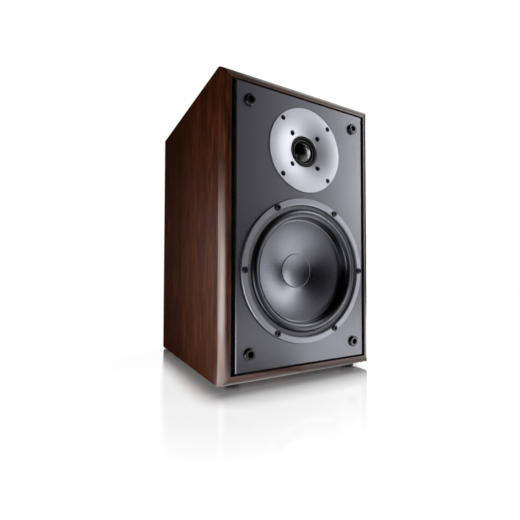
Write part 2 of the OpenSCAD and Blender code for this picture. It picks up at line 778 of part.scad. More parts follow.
module woofer_basket() {
    shelf_in = spider_r - 4;
    shelf_out = spider_r + 0.5;
    color([0.14, 0.14, 0.15]) axis_at(woofer_z) difference() {
        rotate_extrude() polygon([
            [skirt_r - 2.4, basket_front], [ring_r - 0.2, basket_front],
            [ring_r - 0.2, basket_front + flange_t], [skirt_r, basket_front + flange_t],
            [skirt_r, skirt_back], [shelf_out + 3, spider_d + 1.3],
            [shelf_out + 3, spider_d + 3], [shelf_in + 3, spider_d + 3],
            [shelf_in + 3, basket_back], [20, basket_back], [20, basket_back - 3],
            [shelf_in, basket_back - 3], [shelf_in, spider_d], [shelf_out, spider_d],
            [skirt_r - 3.2, skirt_back - 1], [skirt_r - 2.4, skirt_back - 1]
        ]);
        around(basket_windows, shelf_out, -90) translate([0, -14, skirt_back + 2.5])
            cube([30, 28, spider_d - skirt_back - 6]);
        translate([-strip_w / 2 - glue_gap, -strip_r - 1, skirt_back])
            cube([strip_w + 2 * glue_gap, strip_t + 1 + glue_gap, 14]);
        around(6, ring_screw_pr) cylinder(r = m4_r + 0.3, h = 20);
        around(4, rivet_pr, 45) cylinder(r = 2 + pilot_gap, h = 60);
    }
}

module woofer_surround() {
    foot = basket_front - roll_t;
    color(rubber_black) axis_at(woofer_z) rotate_extrude() polygon(concat(
        [[ring_in_r - 0.4, foot], [clamp_in_r, foot]],
        reversed(arc(roll_mid_r, foot, roll_r, 180, 360, 20)),
        [[roll_in_r, cone_rim_d - 0.9], [cone_r - 3.2, cone_depth(cone_r - 3.2) - 0.5],
         [cone_r - 3.2, cone_depth(cone_r - 3.2) - 0.02], [cone_r, cone_rim_d - 0.02],
         [roll_in_r + roll_t, cone_rim_d]],
        arc(roll_mid_r, foot + roll_t, roll_r - roll_t, 180, 360, 20),
        [[ring_in_r - 0.4, basket_front]]
    ));
}

module woofer_cone() {
    steps = 20;
    front = [for (i = [0:steps]) let (r = cone_r + (neck_r - cone_r) * i / steps)
        [r, cone_depth(r)]];
    color(cone_grey) axis_at(woofer_z) rotate_extrude()
        polygon(concat(front, reversed([for (p = front) p + [0, cone_t]])));
}

module woofer_dust_cap() {
    lip = cap_r - cap_t - 0.2;
    dish_sphere = (lip * lip + cap_dish * cap_dish) / (2 * cap_dish);
    mid_d = cap_rim_d + cap_dish - dish_sphere;
    a = asin(lip / dish_sphere);
    color(cone_grey) axis_at(woofer_z) rotate_extrude() polygon(concat(
        arc(0, mid_d, dish_sphere, 90, 90 - a, 14),
        [[cap_r - 0.3, cap_rim_d], [cap_r, cap_rim_d + 0.3],
         [cap_r, cone_depth(cap_r) - 0.05], [cap_r - cap_t, cone_depth(cap_r) - 0.05],
         [cap_r - cap_t, cap_rim_d + cap_t + 0.4]],
        reversed(arc(0, mid_d, dish_sphere + cap_t, 90, 90 - a, 14))
    ));
}

module woofer_spider() {
    inner = neck_r;
    outer = spider_r;
    t = 0.5;
    wave = 1.2;
    steps = 48;
    mid_d = spider_d - t;
    line = concat([[inner, mid_d]],
        [for (i = [0:steps]) let (u = i / steps)
            [inner + 3 + (outer - 3.5 - inner - 3) * u, mid_d - wave + wave * cos(360 * 5 * u)]],
        [[outer, mid_d]]);
    color([0.80, 0.62, 0.30]) axis_at(woofer_z) rotate_extrude()
        polygon(concat(line, reversed([for (p = line) p + [0, t]])));
}

module woofer_former() {
    color([0.75, 0.75, 0.78]) axis_at(woofer_z)
        ring(former_r + former_t, former_r, cone_depth(neck_r) - 0.6,
            winding_mid + winding_l / 2 + 0.5);
}

module woofer_winding() {
    color([0.72, 0.42, 0.22]) axis_at(woofer_z)
        ring(former_r + former_t + winding_t, former_r + former_t,
            winding_mid - winding_l / 2, winding_mid + winding_l / 2);
}

module woofer_top_plate() {
    color(steel) axis_at(woofer_z) difference() {
        ring(magnet_r - 3, gap_hole_r, basket_back, magnet_d);
        around(4, rivet_pr, 45) cylinder(r = 2 + pilot_gap, h = 60);
    }
}

module woofer_magnet() {
    color([0.16, 0.16, 0.17]) axis_at(woofer_z) ring(magnet_r, 21, magnet_d, yoke_d);
}

module woofer_yoke() {
    color(steel) axis_at(woofer_z) difference() {
        union() {
            translate([0, 0, yoke_d]) cylinder(r = magnet_r - 3, h = yoke_t);
            translate([0, 0, basket_back - 1]) cylinder(r = pole_r, h = yoke_d - basket_back + 2);
        }
        cylinder(r = 5, h = 120);
    }
}

module woofer_rivets() {
    color(steel) axis_at(woofer_z) around(4, rivet_pr, 45) {
        translate([0, 0, basket_back - 4.2]) cylinder(r = 3.6, h = 1.2);
        translate([0, 0, basket_back - 3.1]) cylinder(r = 2, h = 3.1 + coil_plate_t);
    }
}

// The strip stands on the back edge of the basket's skirt, above the axis.
module woofer_terminal_strip() {
    color([0.45, 0.27, 0.14]) axis_at(woofer_z)
        translate([-strip_w / 2, -strip_r, skirt_back]) cube([strip_w, strip_t, 14]);
}

module woofer_tabs() {
    color(gold) for (x = [-1, 1]) axis_at(woofer_z, x * tab_x)
        translate([-tab_w / 2, -strip_r - tab_t, baffle_t + 1]) cube([tab_w, tab_t, tab_l]);
}

// Braided leads that droop between the cone's back and the terminal strip.
module woofer_leads() {
    lead_r = 0.6;
    start = 25;
    start_d = cone_depth(norm([start, tab_x]) + lead_r) + cone_t + lead_r / 2;
    span = strip_r - strip_t - start;
    color([0.70, 0.45, 0.25]) for (x = [-tab_x, tab_x]) sweep(smooth_path([
        [x, start_d, woofer_z + start], [x, start_d + 4, woofer_z + start + 4],
        [x, 26.8, woofer_z + start + 16 / 45 * span],
        [x, 27.2, woofer_z + start + 26 / 45 * span],
        [x, 25.4, woofer_z + start + 36 / 45 * span],
        [x, 22.5, woofer_z + strip_r - strip_t - 3],
        [x, 22, woofer_z + strip_r - strip_t - 0.05]
    ], 3), lead_r);
}

// ---------------------------------------------------------------- back

module port_tube() {
    wall = 2.5;
    flare = 16;
    out_r = port_r + wall;
    mouth = rear_most;
    inner_end = panel_back - port_l;
    color([0.08, 0.08, 0.08]) axis_at(port_z) rotate_extrude() polygon(concat(
        [[port_r, inner_end + 8], [port_r, mouth - flare]],
        [for (i = [1:10]) let (a = 9 * i)
            [port_r + flare * 0.55 * (1 - cos(a)), mouth - flare + flare * sin(a)]],
        [[port_flange_r - 1, mouth], [port_flange_r, mouth - 1], [port_flange_r, panel_back],
         [port_r + 10.4, panel_back], [port_r + 10.4, panel_back - 3],
         [out_r, panel_back - 16], [out_r, inner_end + 10]],
        [for (i = [1:5]) let (a = 18 * i)
            [out_r + 5 * (1 - cos(a)), inner_end + 10 - 8 * sin(a)]],
        [[out_r + 5, inner_end], [port_r + 7.5, inner_end]],
        [for (i = [4:-1:1]) let (a = 18 * i)
            [port_r + 7.5 * (1 - cos(a)), inner_end + 8 - 8 * sin(a)]]
    ));
}

// Where the terminal cup's screws are.
module at_cup_screws() {
    axis_at(cup_z) for (x = [-1, 1], y = [-1, 1])
        translate([x * (cup_w / 2 - 6), y * (cup_h / 2 - 6), 0]) children();
}

module terminal_cup() {
    color([0.07, 0.07, 0.08]) difference() {
        axis_at(cup_z) difference() {
            union() {
                translate([0, 0, panel_back]) round_slab(cup_w, cup_h, rear_flange_t, 6);
                translate([0, 0, pocket_floor - cup_floor_t])
                    round_slab(pocket_w + 2 * cup_wall, pocket_h + 2 * cup_wall,
                        panel_back - pocket_floor + cup_floor_t + eps, 6);
            }
            translate([0, 0, pocket_floor]) round_slab(pocket_w, pocket_h, cup_depth + 1, 3.5);
            for (x = [-1, 1]) translate([x * post_pitch / 2, 0, pocket_floor - cup_floor_t - 1])
                cylinder(r = stud_r + pilot_gap, h = cup_floor_t + 2);
        }
        at_cup_screws() {
            translate([0, 0, panel_back - 1]) cylinder(r = m3_r + 0.2, h = rear_flange_t + 2);
            translate([0, 0, rear_most - 1.6]) cylinder(r1 = m3_r + 0.2, r2 = 3.1, h = 1.6 + eps);
        }
    }
}

module terminal_screws() {
    color(rubber_black) at_cup_screws() difference() {
        union() {
            translate([0, 0, rear_most - 1.65]) cylinder(r1 = m3_r, r2 = 2.9, h = 1.5);
            translate([0, 0, panel_back - 10]) cylinder(r = m3_r, h = 10 + rear_flange_t - 1.6);
        }
        translate([0, 0, rear_most - 1.2]) cylinder(r = 1.1, h = 3, $fn = 6);
    }
}

// The axis of each binding post: the red one is at the right seen from behind.
module at_post(s) {
    axis_at(cup_z, s * post_pitch / 2) children();
}

module binding_post_studs() {
    inner_end = pocket_floor - cup_floor_t - tag_t - nut_t - 1;
    color(gold) for (s = [-1, 1]) at_post(s) difference() {
        union() {
            translate([0, 0, inner_end]) cylinder(r = stud_r, h = stud_tip - inner_end);
            translate([0, 0, pocket_floor]) cylinder(r = collar_r, h = collar_t);
        }
        translate([0, 0, stud_tip - plug_depth]) cylinder(r = plug_r, h = plug_depth + 1);
        translate([-10, 0, pocket_floor + collar_t + 2.2]) rotate([0, 90, 0])
            cylinder(r = 1.4, h = 20);
    }
}

module binding_post_nuts() {
    color(gold) for (s = [-1, 1]) at_post(s)
        translate([0, 0, pocket_floor - cup_floor_t - tag_t - nut_t]) difference() {
            cylinder(r = 6.3, h = nut_t, $fn = 6);
            translate([0, 0, -1]) cylinder(r = stud_r + pilot_gap, h = nut_t + 2);
        }
}

module solder_tags() {
    color([0.75, 0.75, 0.72]) for (s = [-1, 1]) at_post(s)
        translate([0, 0, pocket_floor - cup_floor_t - tag_t]) difference() {
            union() {
                cylinder(r = 5.5, h = tag_t);
                translate([-2, 0, 0]) cube([4, tag_l, tag_t]);
            }
            translate([0, 0, -1]) cylinder(r = stud_r + pilot_gap, h = tag_t + 2);
        }
}

module clamp_washer(s) {
    color(gold) at_post(s) ring(collar_r - 0.5, stud_r + stud_gap, washer_d, washer_d + washer_t);
}

module knob(s, tint) {
    color(tint) at_post(s) difference() {
        union() {
            translate([0, 0, knob_d]) cylinder(r = knob_r - 1, h = 3);
            translate([0, 0, knob_d + 2]) cylinder(r = knob_r, h = knob_l - 3);
            translate([0, 0, knob_d + knob_l - 1]) cylinder(r1 = knob_r, r2 = knob_r - 1, h = 1);
        }
        translate([0, 0, knob_d - 1]) cylinder(r = stud_r + stud_gap, h = knob_l + 2);
        around(knob_grooves, knob_r + 0.35) translate([0, 0, knob_d - 1])
            cylinder(r = 0.9, h = knob_l + 2, $fn = 24);
    }
}

module red_clamp_washer() clamp_washer(1);
module red_knob() knob(1, [0.62, 0.06, 0.05]);
module black_clamp_washer() clamp_washer(-1);
module black_knob() knob(-1, [0.05, 0.05, 0.05]);

// ---------------------------------------------------------------- crossover and wiring

module crossover_board() {
    color([0.10, 0.32, 0.16]) difference() {
        depth_box(-xover_w / 2, xover_w / 2, xover_mid - xover_l / 2, xover_mid + xover_l / 2,
            board_z, board_top);
        at_xover_screws() cylinder(r = m3_r + 0.2, h = board_top + 1);
    }
}

module crossover_standoffs() {
    color([0.85, 0.85, 0.80]) at_xover_screws() translate([0, 0, inner_z0]) difference() {
        cylinder(r = 4, h = standoff_h);
        translate([0, 0, -1]) cylinder(r = m3_r + 0.2, h = standoff_h + 2);
    }
}

module crossover_screws() {
    color(steel) at_xover_screws() {
        translate([0, 0, board_top]) cylinder(r = m3_head_r, h = 2);
        translate([0, 0, inner_z0 - 7]) cylinder(r = m3_r, h = board_top - inner_z0 + 7.1);
    }
}

// A frame on the board at an inductor's centre.
module at_inductor(c) {
    translate([c[0], front_y + c[1], board_top]) children();
}

module inductor_bobbins() {
    color([0.12, 0.12, 0.12]) for (c = inductors) at_inductor(c) {
        cylinder(r = c[2], h = bobbin_t);
        cylinder(r = core_r, h = c[3]);
        translate([0, 0, c[3] - bobbin_t]) cylinder(r = c[2], h = bobbin_t);
    }
}

module inductor_windings() {
    color([0.72, 0.42, 0.22]) for (c = inductors) at_inductor(c)
        ring(c[2] - 1, core_r + glue_gap, bobbin_t + 0.02, c[3] - bobbin_t - 0.02);
}

module capacitors() {
    color([0.78, 0.62, 0.15]) for (c = capacitor_sizes)
        translate([c[0] - c[3] / 2, front_y + c[1], board_top + c[2]])
            rotate([0, 90, 0]) cylinder(r = c[2], h = c[3]);
}

module resistor() {
    color([0.90, 0.89, 0.84])
        depth_box(10, 34, xover_mid + 26, xover_mid + 36, board_top, board_top + 9);
}

module internal_wires() {
    routes = [
        input_route, mirrored(input_route), woofer_route_a, woofer_route_b,
        tweeter_route_a, tweeter_route_b
    ];
    color([0.55, 0.08, 0.08]) for (r = routes) sweep(smooth_path(r, 3), wire_r);
}

side_panel_left();
side_panel_right();
top_panel();
bottom_panel();
rear_panel();
front_baffle();
brace_shelf();
upper_wadding();
lower_wadding();
feet();
foot_screws();
grille_sockets();
tweeter_faceplate();
tweeter_screws();
tweeter_motor_screws();
tweeter_coil_frame();
tweeter_surround();
tweeter_dome();
tweeter_voice_coil();
tweeter_top_plate();
tweeter_magnet();
tweeter_yoke();
tweeter_tabs();
woofer_trim_ring();
woofer_screws();
woofer_clamp_ring();
woofer_foam_gasket();
woofer_basket();
woofer_surround();
woofer_cone();
woofer_dust_cap();
woofer_spider();
woofer_former();
woofer_winding();
woofer_top_plate();
woofer_magnet();
woofer_yoke();
woofer_rivets();
woofer_terminal_strip();
woofer_tabs();
woofer_leads();
port_tube();
terminal_cup();
terminal_screws();
binding_post_studs();
binding_post_nuts();
solder_tags();
red_clamp_washer();
red_knob();
black_clamp_washer();
black_knob();
crossover_board();
crossover_standoffs();
crossover_screws();
inductor_bobbins();
inductor_windings();
capacitors();
resistor();
internal_wires();
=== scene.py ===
import math

import bmesh
import bpy
from mathutils import Matrix, Vector, noise
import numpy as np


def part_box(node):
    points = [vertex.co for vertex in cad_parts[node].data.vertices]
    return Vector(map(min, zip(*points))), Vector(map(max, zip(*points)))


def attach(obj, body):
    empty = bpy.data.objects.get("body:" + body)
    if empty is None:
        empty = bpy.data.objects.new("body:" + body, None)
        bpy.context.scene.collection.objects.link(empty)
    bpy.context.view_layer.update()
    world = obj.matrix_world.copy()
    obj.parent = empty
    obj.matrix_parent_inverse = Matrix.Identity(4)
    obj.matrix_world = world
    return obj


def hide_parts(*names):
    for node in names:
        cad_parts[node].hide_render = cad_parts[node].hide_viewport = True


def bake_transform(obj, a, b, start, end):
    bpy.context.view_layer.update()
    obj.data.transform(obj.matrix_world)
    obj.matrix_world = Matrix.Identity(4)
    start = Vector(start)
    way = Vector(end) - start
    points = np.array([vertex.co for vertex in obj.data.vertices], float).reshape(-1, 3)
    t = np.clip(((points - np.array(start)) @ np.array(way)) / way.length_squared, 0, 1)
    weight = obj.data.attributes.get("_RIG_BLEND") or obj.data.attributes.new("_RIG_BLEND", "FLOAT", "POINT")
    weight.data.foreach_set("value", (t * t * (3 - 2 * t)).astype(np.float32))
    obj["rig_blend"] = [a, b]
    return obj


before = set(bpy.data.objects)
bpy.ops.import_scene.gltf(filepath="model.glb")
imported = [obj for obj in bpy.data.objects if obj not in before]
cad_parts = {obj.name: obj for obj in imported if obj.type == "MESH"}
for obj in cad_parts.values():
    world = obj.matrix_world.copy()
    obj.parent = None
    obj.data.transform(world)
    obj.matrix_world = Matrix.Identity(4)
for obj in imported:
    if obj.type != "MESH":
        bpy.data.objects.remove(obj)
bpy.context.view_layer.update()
baffle_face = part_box("front_baffle")[0].y * 1000


# ---------------------------------------------------------------- studio
# The loudspeaker stands on a wide white table that shines faintly and, for polished faces,
# glows as painted light. Soft boxes light it from the right and from above, dark flags stand
# round it, the curtain with a band of painted light, and four small lamps light one group of
# pieces each.
def lens():
    """A wide lens, low down and close to the cabinet's left front corner."""
    data = bpy.data.cameras.new("camera")
    data.lens = 24.107
    data.sensor_width = 36
    data.shift_x = -0.0359
    data.shift_y = 0.0110
    data.clip_start = 0.01
    holder = bpy.data.objects.new("camera", data)
    bpy.context.scene.collection.objects.link(holder)
    yaw, pitch = 0.542, 0.028
    ahead = Vector(
        (math.sin(yaw) * math.cos(pitch), math.cos(yaw) * math.cos(pitch), math.sin(pitch))
    )
    holder.rotation_euler = ahead.to_track_quat("-Z", "Y").to_euler()
    aside, before_baffle, height = -0.23741, 0.33262, 0.12068
    holder.location = (aside, baffle_face / 1000 - before_baffle, height)
    bpy.context.scene.camera = holder


lens()
bpy.context.scene.view_settings.view_transform = "Standard"


class Signal:
    """An output of one of a finish's nodes. Arithmetic on it adds Math nodes."""

    def __init__(self, finish, socket):
        self.finish = finish
        self.socket = socket

    def maths(self, operation, *values):
        """One Math node on signals and numbers."""
        return self.finish.node("ShaderNodeMath", {"operation": operation}, dict(enumerate(values)))

    def __add__(self, other):
        return self.maths("ADD", self, other)

    def __sub__(self, other):
        return self.maths("SUBTRACT", self, other)

    def __mul__(self, other):
        return self.maths("MULTIPLY", self, other)

    def __rsub__(self, other):
        return self.maths("SUBTRACT", other, self)

    __radd__ = __add__
    __rmul__ = __mul__

    def larger(self, other):
        return self.maths("MAXIMUM", self, other)

    def rising(self, low, high):
        """0 below low, 1 above high and smooth between them."""
        return self.finish.node(
            "ShaderNodeMapRange",
            {"interpolation_type": "SMOOTHSTEP"},
            {"Value": self, "From Min": low, "From Max": high},
        )


class Finish:
    """A finish and its nodes. What is the same all over is set on the shader itself."""

    def __init__(self, name, **constants):
        self.material = bpy.data.materials.new(name)
        self.material.use_nodes = True
        self.tree = self.material.node_tree
        self.shader = self.tree.nodes["Principled BSDF"]
        self.coordinates = None
        for label, value in constants.items():
            self.shader.inputs[label.replace("_", " ")].default_value = value

    def node(self, kind, settings=None, inputs=None, output=0):
        """A new node with its settings, a value or a link for each input, and one output."""
        made = self.tree.nodes.new(kind)
        for label, value in (settings or {}).items():
            if label == "stops":
                elements = made.color_ramp.elements
                elements.remove(elements[1])
                for count, (level, colour) in enumerate(value):
                    stop = elements.new(level) if count else elements[0]
                    stop.position = level
                    stop.color = colour
            else:
                setattr(made, label, value)
        for label, value in (inputs or {}).items():
            if isinstance(value, Signal):
                self.tree.links.new(value.socket, made.inputs[label])
            else:
                made.inputs[label].default_value = value
        return Signal(self, made.outputs[output])

    def plug(self, label, signal):
        self.tree.links.new(signal.socket, self.shader.inputs[label])

    def vectors(self, operation, *values, output=0):
        """One Vector Math node, whose output 1 is a number."""
        settings = {"operation": operation}
        return self.node("ShaderNodeVectorMath", settings, dict(enumerate(values)), output)

    def place(self, scale=(1, 1, 1), at=(0, 0, 0)):
        """Object coordinates, moved to at and multiplied by scale."""
        if self.coordinates is None:
            self.coordinates = self.node("ShaderNodeTexCoord", output="Object")
        moved = self.vectors("SUBTRACT", self.coordinates, at)
        return self.node("ShaderNodeMapping", {}, {"Vector": moved, "Scale": scale})

    def axes(self):
        """Object coordinates along x, along y and along z."""
        return [self.node("ShaderNodeSeparateXYZ", {}, {0: self.place()}, i) for i in range(3)]

    def noise(self, count, detail=2.0, rough=0.5, at=(0, 0, 0)):
        """Noise with that many features in a metre, or with one count for each axis."""
        scale = count if isinstance(count, (list, tuple)) else (count, count, count)
        settings = {"Scale": 1.0, "Detail": detail, "Roughness": rough}
        return self.node("ShaderNodeTexNoise", {}, {"Vector": self.place(scale, at), **settings})

    def mix(self, amount, first, second):
        """The first colour where amount is 0 and the second where it is 1."""
        return self.node(
            "ShaderNodeMix", {"data_type": "RGBA"}, {0: amount, 6: first, 7: second}, output=2
        )

    def two_tone(self, fine, broad, share, dark, light):
        """From dark to light, where that share of the change is fine's and the rest broad's."""
        self.plug("Base Color", self.mix(fine * share + broad * (1 - share), tint(dark), tint(light)))

    def tones(self, signal, *stops):
        """A run of colours, each at its own level of the signal."""
        return self.node("ShaderNodeValToRGB", {"stops": stops}, {"Fac": signal})

    def relief(self, height, millimetres, strength):
        """Bumps of that depth where height goes from 0 to 1."""
        size = {"Height": height, "Distance": millimetres / 1000, "Strength": strength}
        self.plug("Normal", self.node("ShaderNodeBump", {}, size))

    def grained(self, grain, rough, spread, millimetres, strength):
        """The grain changes the roughness by that spread, and stands out by that height."""
        self.plug("Roughness", rough + spread * grain)
        self.relief(grain, millimetres, strength)


def tint(code):
    """A colour from its six-figure code."""
    parts = [int(code[i : i + 2], 16) / 255 for i in (0, 2, 4)]
    return tuple(c / 12.92 if c < 0.04045 else ((c + 0.055) / 1.055) ** 2.4 for c in parts) + (1.0,)


def dress(bm, name, *finishes, sharp=30):
    """Makes a bmesh in millimetres an object in metres, with smooth faces and sharp edges."""
    bmesh.ops.scale(bm, vec=(0.001, 0.001, 0.001), verts=bm.verts)
    mesh = bpy.data.meshes.new(name)
    bm.to_mesh(mesh)
    bm.free()
    mesh.polygons.foreach_set("use_smooth", [True] * len(mesh.polygons))
    mesh.set_sharp_from_angle(angle=math.radians(sharp))
    for finish in finishes:
        mesh.materials.append(finish.material)
    made = bpy.data.objects.new(name, mesh)
    bpy.context.scene.collection.objects.link(made)
    return made


def table():
    """A white table that mirrors the loudspeaker faintly. It shines so that it looks as white as
    the room, except close round the loudspeaker, where the shadow shows and a painted shadow
    darkens its colour right at the foot."""
    white = Finish("table_white", Roughness=0.9, Specular_IOR_Level=0.0)
    cloud = white.noise(3, detail=2)
    to_eye, to_gloss, to_glass = [
        white.node("ShaderNodeLightPath", output=label)
        for label in ("Is Camera Ray", "Is Glossy Ray", "Is Transmission Ray")
    ]
    seen = to_eye.larger(to_gloss.larger(to_glass))

    # How far a place is from the cabinet's outline, and how far round from three points of it.
    half_width, half_depth = 0.104, 0.124
    past = white.vectors(
        "SUBTRACT", white.vectors("ABSOLUTE", white.place()), (half_width, half_depth, 1)
    )
    away = white.vectors("LENGTH", white.vectors("MAXIMUM", past, (0, 0, 0)), output=1)
    x, y, _ = white.axes()

    def round_from(at_x, at_y):
        """Degrees round that point: 0 straight to the front, and more towards the right."""
        return x.maths("ARCTAN2", x - at_x, at_y - y) * (180 / math.pi)

    round_front = round_from(0, -0.12)
    round_left_corner = round_from(-0.1, -0.1)
    round_back_corner = round_from(-0.105, half_depth)

    top_white = white.mix(cloud, tint("f0f0f0"), tint("f6f6f7"))
    # Painted shadow: the table's colour turns darker grey right at the cabinet's foot.
    white.plug("Base Color", white.mix(away.rising(-0.004, 0.02), tint("a0a0a2"), top_white))

    # Hardly any light reaches the table right under the cabinet's edges.
    clear = (away * (1.7 - 0.7 * x.rising(-0.16, -0.08))).rising(0.002, 0.055)

    # What the loudspeaker's polished faces mirror of the table is painted light: for glossy rays
    # the table glows faintly all over, brighter in front, to the right and most to the left, dark
    # behind the left corner, and a painted shadow darkens the glow near the cabinet's edges.
    in_front = 1.1 * round_front.rising(-30, 0) * (1 - away.rising(0.35, 0.8))
    to_the_right = 2.6 * round_front.rising(10, 46)
    to_the_left = 5.5 * (1 - round_front.rising(-75, -40)) * (1 - away.rising(0.5, 1.0))
    not_behind = round_left_corner.rising(-142, -114)
    painted_glow = 0.1 + in_front + to_the_right + to_the_left
    painted_reflection = painted_glow * not_behind * (0.2 + 0.8 * clear)
    shine = 1.15
    strength = shine + to_gloss * (painted_reflection - shine)
    glow = white.node("ShaderNodeEmission", {}, {"Color": (1, 1, 1, 1), "Strength": strength})

    # The shadow and the loudspeaker's image show only at the right of a line that runs from
    # front to back through the rear left corner.
    shows = round_back_corner.rising(-14.5, -12) * (1 - round_back_corner.rising(158, 166))
    share = 0.82 * seen * (1 - 0.98 * shows * (1 - clear))
    shining = share.larger(to_gloss)
    polished = 0.17 * shows * (1 - away.rising(0.05, 0.19)) * (1 - y.rising(0.04, 0.13))
    plain = Signal(white, white.shader.outputs[0])
    matt = white.node("ShaderNodeMixShader", {}, {0: shining, 1: plain, 2: glow})
    gloss = white.node("ShaderNodeBsdfGlossy", {}, {"Color": (1, 1, 1, 1), "Roughness": 0.055})
    shown = white.node("ShaderNodeMixShader", {}, {0: polished, 1: matt, 2: gloss})
    white.tree.links.new(shown.socket, white.tree.nodes["Material Output"].inputs["Surface"])

    half_side, forward = 1000, 800
    bm = bmesh.new()
    bmesh.ops.create_grid(bm, x_segments=8, y_segments=8, size=half_side)
    bmesh.ops.translate(bm, vec=(0, -forward, 0), verts=bm.verts)
    top = dress(bm, "table", white)
    return top


def soft_box(name, at, turn, width, height, radiance, tilt=0):
    """An even screen of light, turned that far round from the front and tilted down."""
    data = bpy.data.lights.new(name, "AREA")
    data.shape = "RECTANGLE"
    data.size = width
    data.size_y = height
    data.energy = radiance * math.pi * width * height
    lamp = bpy.data.objects.new(name, data)
    bpy.context.scene.collection.objects.link(lamp)
    lamp.location = at
    lamp.rotation_euler = (math.radians(90 - tilt), 0, math.radians(turn))
    lamp.visible_camera = False
    return lamp


def flags():
    """Dark screens that only glossy faces mirror: a ceiling, and a curtain all round. The curtain
    glows as painted light behind the tall soft box, and it is open behind the rim soft box."""
    black, shaded = [
        Finish(name, Roughness=1.0, Specular_IOR_Level=0.0) for name in ("flag_black", "ceiling_black")
    ]
    for screen in (black, shaded):
        screen.plug("Base Color", screen.mix(screen.noise(2), tint("050505"), tint("080808")))
    x, y, z = black.axes()
    turned_by = x.maths("ARCTAN2", x, -1 * y) * (180 / math.pi)
    # Painted light: the curtain glows between about 15 and 66 degrees round, brighter higher up and more in
    # a low band from about 33 degrees on, a painted reflection for glossy faces.
    low_band = z.rising(0.3, 0.55) * (1 - z.rising(0.7, 1.0))
    level = 0.25 + 0.175 * z.rising(0.4, 1.3) + 0.3 * turned_by.rising(33, 42) * low_band
    pale = turned_by.rising(15, 44) * (1 - turned_by.rising(50, 66)) * level
    black.plug("Emission Color", black.mix(pale, tint("000000"), tint("ffffff")))
    black.shader.inputs["Emission Strength"].default_value = 4.3

    radius, hem_height, drop = 1900, -1500, 4100
    turns = [math.radians(turn) for turn in range(-228, 113, 4)]
    bm = bmesh.new()
    hem = [bm.verts.new((radius * math.sin(a), -radius * math.cos(a), hem_height)) for a in turns]
    edges = [bm.edges.new(pair) for pair in zip(hem, hem[1:])]
    grown = bmesh.ops.extrude_edge_only(bm, edges=edges)
    raised = [v for v in grown["geom"] if isinstance(v, bmesh.types.BMVert)]
    bmesh.ops.translate(bm, vec=(0, 0, drop), verts=raised)
    curtain = dress(bm, "curtain_flag", black)

    shaded.plug("Alpha", shaded.axes()[2].rising(1.3, 2.4))
    dome_radius, dome_foot = 2800, 250
    bm = bmesh.new()
    bmesh.ops.create_uvsphere(bm, u_segments=48, v_segments=24, radius=dome_radius)
    bmesh.ops.bisect_plane(
        bm,
        geom=bm.verts[:] + bm.edges[:] + bm.faces[:],
        plane_co=(0, 0, dome_foot),
        plane_no=(0, 0, -1),
        clear_outer=True,
    )
    ceiling = dress(bm, "ceiling_flag", shaded)
    for flag in (curtain, ceiling):
        flag.visible_camera = False
        flag.visible_diffuse = False
        flag.visible_shadow = False
        flag.visible_transmission = False


def room():
    """A dim white world, which the eye and the polished faces see as full white."""
    world = bpy.data.worlds.new("room")
    bpy.context.scene.world = world
    world.use_nodes = True
    nodes, links = world.node_tree.nodes, world.node_tree.links
    dim = nodes["Background"]
    dim.inputs["Color"].default_value = (1, 1, 1, 1)
    dim.inputs["Strength"].default_value = 0.12
    white = nodes.new("ShaderNodeBackground")
    white.inputs["Color"].default_value = (1, 1, 1, 1)
    rays = nodes.new("ShaderNodeLightPath")
    to_eye_or_gloss = nodes.new("ShaderNodeMath")
    to_eye_or_gloss.operation = "MAXIMUM"
    seen = nodes.new("ShaderNodeMath")
    seen.operation = "MAXIMUM"
    shown = nodes.new("ShaderNodeMixShader")
    links.new(rays.outputs["Is Camera Ray"], to_eye_or_gloss.inputs[0])
    links.new(rays.outputs["Is Glossy Ray"], to_eye_or_gloss.inputs[1])
    links.new(to_eye_or_gloss.outputs[0], seen.inputs[0])
    links.new(rays.outputs["Is Transmission Ray"], seen.inputs[1])
    links.new(seen.outputs[0], shown.inputs[0])
    links.new(dim.outputs[0], shown.inputs[1])
    links.new(white.outputs[0], shown.inputs[2])
    links.new(shown.outputs[0], nodes["World Output"].inputs["Surface"])


table_top = table()
flags()
room()
soft_box("tall_soft_box", (1.17, -0.95, 0.80), 51, 0.42, 1.25, 5.0)
soft_box("top_soft_box", (0.95, 0.0, 1.75), 90, 1.2, 0.8, 1.6, tilt=62)
soft_box("rim_soft_box", (1.33, 0.77, 0.45), 120, 0.7, 1.1, 3.5)
side_box = soft_box("side_soft_box", (1.57, -0.33, 0.60), 78, 0.9, 1.3, 4.6)
side_box.visible_glossy = False

# Two low lamps at the left shine along the veneered walls and the table alone.
walls = bpy.data.collections.new("veneered_walls")
walls.objects.link(table_top)
low_box = soft_box("low_soft_box", (-0.42, -0.24, 0.09), -90, 0.4, 0.2, 5.6)
low_gleam = soft_box("low_gleam", (-0.415, -0.06, 0.10), -90, 0.64, 0.36, 3.9)
low_gleam.visible_diffuse = False
for lamp in (low_box, low_gleam):
    lamp.light_linking.receiver_collection = walls

# One more puts a gleam on the silk dome alone, and another one on the woofer's moving parts.
dome_gleam = soft_box("dome_gleam", (0.60, -0.31, 0.34), 72, 0.34, 0.5, 9.0)
woofer_gleam = soft_box("woofer_gleam", (0.79, -0.49, 1.06), 65, 1.2, 0.5, 4.5, tilt=48)
silk_parts, cone_parts = [bpy.data.collections.new(n) for n in ("silk_parts", "cone_parts")]
for lamp, parts in ((dome_gleam, silk_parts), (woofer_gleam, cone_parts)):
    lamp.visible_diffuse = False
    lamp.light_linking.receiver_collection = parts
